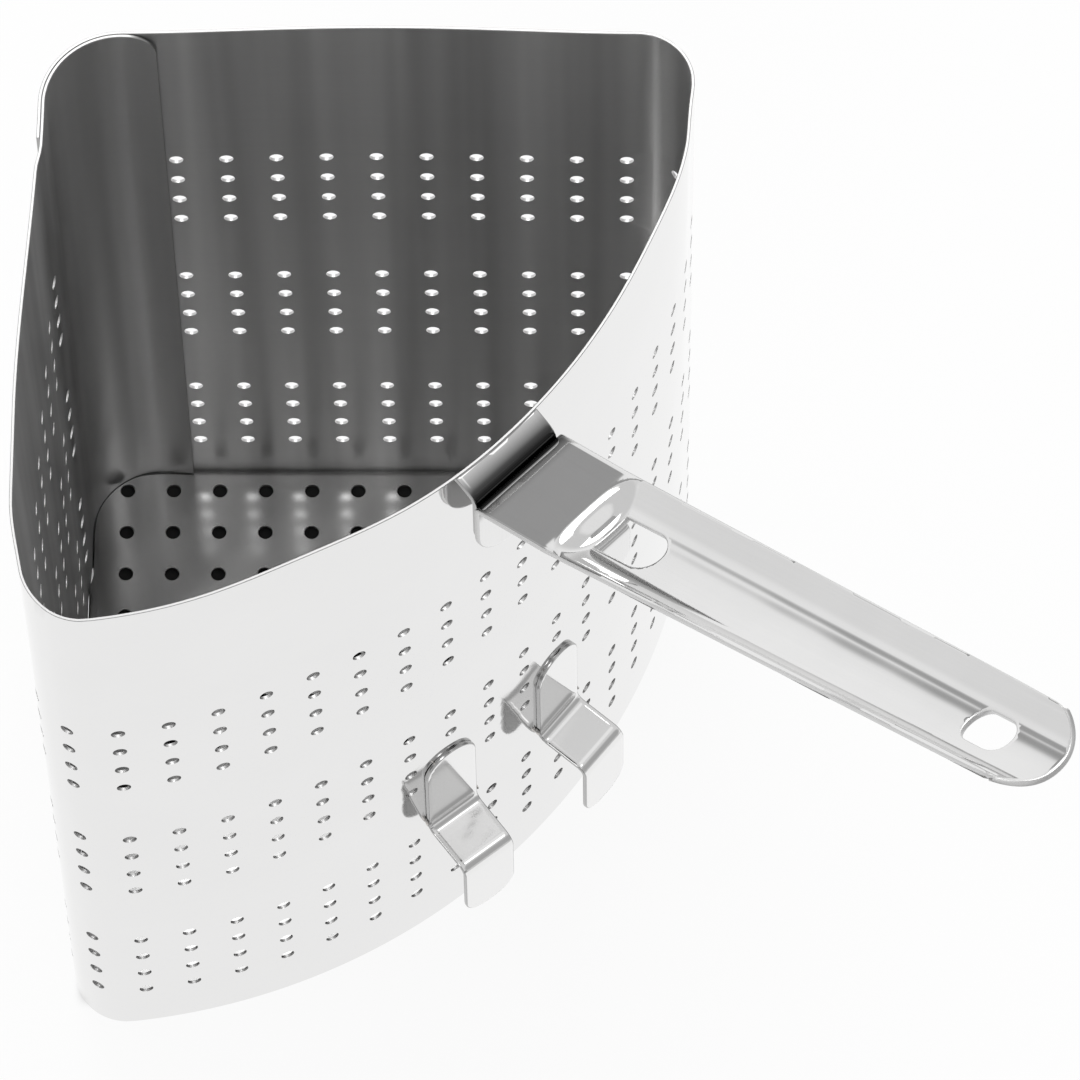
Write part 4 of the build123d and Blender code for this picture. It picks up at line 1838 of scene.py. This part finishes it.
@dataclass
class LowerHook:
    """A hook on the front wall: a round-topped tab, a strap outward and a lip down, with its tack welds.

    Args:
        plan: the wall's outline.
        side: which of the two hooks.
        sheet: thickness of the strip as it is drawn.
        solid_sheet: its thickness in the solids, whose lip keeps its outer face.
        width: its width.
        turn: its angle round the pot's axis, in degrees.
        top: height of the tab's top.
        strap: height of the strap at the wall.
        fall: how far the strap falls outwards.
        stand_off: how far it reaches out from the wall.
        foot: height of the lip's foot.
        top_round: rounding of the tab's top.
        foot_round: rounding of the lip's foot.
        radii: rounding of the two bends.
    """

    plan: QuarterPlan
    side: Side
    sheet: float = 1.2
    solid_sheet: float = 1.5
    width: float = 15.5
    turn: float = 6.6
    top: float = 93.5
    strap: float = 57.5
    fall: float = 1.5
    stand_off: float = 14.5
    foot: float = 29.5
    top_round: float = 7.55
    foot_round: float = 6.5
    radii: Pair = (2.6, 3.4)

    def build(self) -> bpy.types.Object:
        """Builds the hook.

        Returns:
            The hook's object.
        """
        label = "left" if self.side is Side.LEFT else "right"
        draft = MeshDraft(f"lower_hook_{label}_formed", (HOOK_SKIN, TRIMMED_EDGE, WELD_SKIN, SHADED_SKIN))
        radius, half = self.plan.radius, self.width / 2
        face = math.sqrt(radius**2 - half**2) + self.sheet
        out = radius + self.stand_off + self.solid_sheet
        stops = [(face, self.top), (face, self.strap), (out, self.strap - self.fall), (out, self.foot)]
        line = BentLine(stops, self.radii)
        turn = math.radians(self.turn * self.side.value)
        cosine, sine = math.cos(turn), math.sin(turn)

        def set_in(x: float, across: float, z: float) -> Vector:
            """Turns a point of the hook's own side view into the frame."""
            return Vector((x * cosine - across * sine + self.plan.shift, x * sine + across * cosine, z))

        def surface(along: float, across: float) -> Vector:
            """The visible side of the strip."""
            x, z = line.at(along)
            return set_in(x, across, z)

        long, up, low = line.length, self.top_round, self.foot_round
        corners = [(0.0, -half), (long, -half), (long, half), (0.0, half)]
        outline = rounded(corners, [up, low, low, up], 0.8)
        Blank(outline, [], (0.7, 0.9), self.sheet, 0.28).form(draft, surface, look=0, under=3, edge=1)
        low = [(-half, 60.5, 1.3), (half, 60.8, 1.1)]
        high = [(-4.6, self.top - 2.4, 1.0), (5.2, self.top - 2.9, 0.9)]
        for across, level, size in low + high:
            self._tack(draft, set_in, across, level, size, face - self.sheet)
        return draft.build(Slot.PRESSED, (f"lower_hook_{label}",))

    def _tack(
        self, draft: MeshDraft, set_in: Callable[..., Vector], across: float, level: float, size: float, back: float
    ) -> None:
        """Adds a tack weld, a low lump that bridges the tab's edge and the wall.

        Args:
            draft: the hook's draft.
            set_in: turns a point of the side view into the frame.
            across: its place across the hook.
            level: its height.
            size: half its length.
            back: where the tab's back lies.
        """
        sign = math.copysign(1.0, across)
        rows = []
        for lap in range(6):
            tilt = lap * math.pi / 12
            rise = size * 0.55 * math.sin(tilt)
            row = []
            for cut in range(14):
                turn = 2 * math.pi * cut / 14
                wave = 1 + 0.13 * math.sin(3 * turn + across) + 0.08 * math.cos(5 * turn + level)
                away = size * math.cos(tilt) * wave
                x = max(back + 0.35 + (away * math.cos(turn) * 0.7 + rise * 0.8), back - 0.1)
                spot = set_in(x, across + sign * (rise * 0.7 + 0.15), level + away * math.sin(turn))
                row.append(draft.point(spot))
            rows.append(row)
        draft.bands(rows, 2, turned=sign > 0)
        draft.face(rows[-1], 2, turned=sign > 0)
        draft.face(rows[0], 2, turned=sign < 0)


# Studio


@dataclass(frozen=True)
class Softbox:
    """A soft bright or dark area of the studio that only the metal sees.

    Args:
        direction: where it is.
        level: its brightness.
        inner: the half angle of its full part, in degrees.
        outer: the half angle at which it is gone.
    """

    direction: Triple
    level: float
    inner: float
    outer: float


@dataclass(frozen=True)
class Lamp:
    """A large soft lamp.

    Args:
        name: its name.
        place: where it hangs, in metres.
        size: the side of its square, in metres.
        power: its power in watts.
        mirrored: whether the metal shows it.
    """

    name: str
    place: Triple
    size: float
    power: float
    mirrored: bool


@dataclass
class Studio:
    """Floor, world, lamps and camera.

    Args:
        floor_size: the floor's side, in metres.
        floor_drop: how far it lies below the object, in metres.
        world_level: how much light the surroundings give.
        horizon: how bright the metal sees them at the horizon.
        overhead: how bright it sees them overhead.
        haze: elevations in degrees between which the one becomes the other.
        softboxes: brighter and darker areas that the metal sees.
        lamps: the lamps.
        aim: where the lamps point, in metres.
        target: where the camera looks, in millimetres.
        azimuth: the camera's azimuth, in degrees.
        elevation: its elevation.
        roll: its roll.
        distance: its distance, in millimetres.
        focal: its focal length in pixels of the photograph.
        frame: the photograph's width in pixels.
        sensor: width of its sensor.
    """

    floor_size: float = 9.0
    floor_drop: float = 0.0002
    world_level: float = 0.75
    horizon: float = 1.0
    overhead: float = 0.72
    haze: Pair = (4.0, 38.0)
    softboxes: Tuple[Softbox, ...] = (
        Softbox((-0.64, 0.30, 0.71), 1.25, 9.0, 13.0),
        Softbox((-0.919, 0.246, 0.309), 0.36, 5.5, 8.5),
        Softbox((-0.959, 0.067, 0.276), 0.4, 2.5, 5.5),
        Softbox((-0.918, -0.39, 0.07), 0.84, 10.0, 20.0),
        Softbox((0.86, 0.30, 0.42), 0.42, 15.0, 32.0),
        Softbox((0.04, -0.42, 0.90), 4.6, 4.0, 12.0),
        Softbox((0.12, 0.30, 0.95), 0.92, 6.0, 12.0),
        Softbox((0.37, 0.22, 0.90), 2.2, 2.0, 8.5),
        Softbox((0.25, -0.96, 0.06), 0.28, 7.0, 19.0),
        Softbox((0.05, 0.99, 0.08), 0.32, 8.0, 24.0),
        Softbox((0.95, -0.20, 0.10), 0.3, 6.0, 16.0),
    )
    lamps: Tuple[Lamp, ...] = (
        Lamp("key_lamp", (-1.1, 0.9, 1.9), 1.3, 16.0, True),
        Lamp("fill_lamp", (0.9, -1.6, 1.5), 1.5, 10.0, False),
    )
    aim: Triple = (0.0, 0.0, 0.12)
    target: Triple = (6.48, 7.297, 186.2)
    azimuth: float = -43.88
    elevation: float = 63.956
    roll: float = -0.952
    distance: float = 2312.82
    focal: float = 9500.0
    frame: int = 1080
    sensor: float = 36.0

    def build(self) -> None:
        """Sets up everything round the object."""
        self._floor()
        self._world()
        self._lamps()
        self._camera()
        bpy.context.scene.view_settings.view_transform = "Standard"

    def _floor(self) -> None:
        """Lays the pale floor."""
        half = self.floor_size / 2
        corners = [(x * half, y * half, -self.floor_drop) for x, y in ((-1, -1), (1, -1), (1, 1), (-1, 1))]
        mesh = bpy.data.meshes.new("floor")
        mesh.from_pydata(corners, [], [(0, 1, 2, 3)])
        mesh.materials.append(MATERIALS.of(FloorFinish()))
        floor = bpy.data.objects.new("floor", mesh)
        bpy.context.scene.collection.objects.link(floor)

    def _world(self) -> None:
        """Makes the studio's surroundings: white to the camera, shaded for the metal."""
        world = bpy.data.worlds.new("studio")
        bpy.context.scene.world = world
        tree = Tree(world)
        direction = tree.value("ShaderNodeTexCoord", "Generated")
        low, high = (math.sin(math.radians(angle)) for angle in self.haze)
        room = tree.axis(direction, "Z").smooth(low, high)
        level = self.horizon - room * (self.horizon - self.overhead)
        for box in self.softboxes:
            outer, inner = (math.cos(math.radians(angle)) for angle in (box.outer, box.inner))
            near = tree.facing(direction, box.direction).smooth(outer, inner)
            level = level * (1.0 - near) + near * box.level
        metal = tree.value("ShaderNodeLightPath", "Is Glossy Ray")
        seen = tree.value("ShaderNodeLightPath", "Is Camera Ray")
        strength = level * metal + (1.0 - metal) * self.world_level
        strength = strength * (1.0 - seen) + seen
        back = tree.value("ShaderNodeBackground", "Background", None, {"Color": grey(1.0), "Strength": strength})
        tree.add("ShaderNodeOutputWorld", None, {"Surface": back})

    def _lamps(self) -> None:
        """Hangs the lamps."""
        for lamp in self.lamps:
            light = bpy.data.lights.new(lamp.name, "AREA")
            light.shape = "SQUARE"
            light.size = lamp.size
            light.energy = lamp.power
            holder = bpy.data.objects.new(lamp.name, light)
            holder.location = lamp.place
            holder.visible_glossy = lamp.mirrored
            holder.rotation_euler = (Vector(self.aim) - Vector(lamp.place)).to_track_quat("-Z", "Y").to_euler()
            bpy.context.scene.collection.objects.link(holder)

    def _camera(self) -> None:
        """Sets the camera at the photograph's angle."""
        azimuth, elevation, roll = (math.radians(angle) for angle in (self.azimuth, self.elevation, self.roll))
        level = math.cos(elevation)
        back = Vector((level * math.cos(azimuth), level * math.sin(azimuth), math.sin(elevation)))
        right = (-back).cross(Vector((0, 0, 1))).normalized()
        up = right.cross(-back)
        across = right * math.cos(roll) + up * math.sin(roll)
        over = up * math.cos(roll) - right * math.sin(roll)
        lens = bpy.data.cameras.new("camera")
        lens.sensor_width = self.sensor
        lens.lens = self.focal / self.frame * self.sensor
        lens.clip_start, lens.clip_end = 0.05, 40.0
        camera = bpy.data.objects.new("camera", lens)
        place = (Vector(self.target) + back * self.distance) * METRES
        turned = Matrix((across, over, back)).transposed().to_4x4()
        camera.matrix_world = Matrix.Translation(place) @ turned
        bpy.context.scene.collection.objects.link(camera)
        bpy.context.scene.camera = camera


def main() -> None:
    """Builds the studio and every piece."""
    logging.basicConfig(level=logging.INFO, format="%(name)s %(message)s")
    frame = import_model()
    LOG.info("frame with %d nodes", len(frame["nodes"]))
    Studio().build()
    plan = QuarterPlan()
    pieces = [WrappedWall(plan), BottomPan(plan), RimBracket(plan), PressedHandle(plan)]
    pieces += [LowerHook(plan, side) for side in Side]
    for piece in pieces:
        LOG.info("built %s", piece.build().name)


if __name__ == "__main__":
    main()
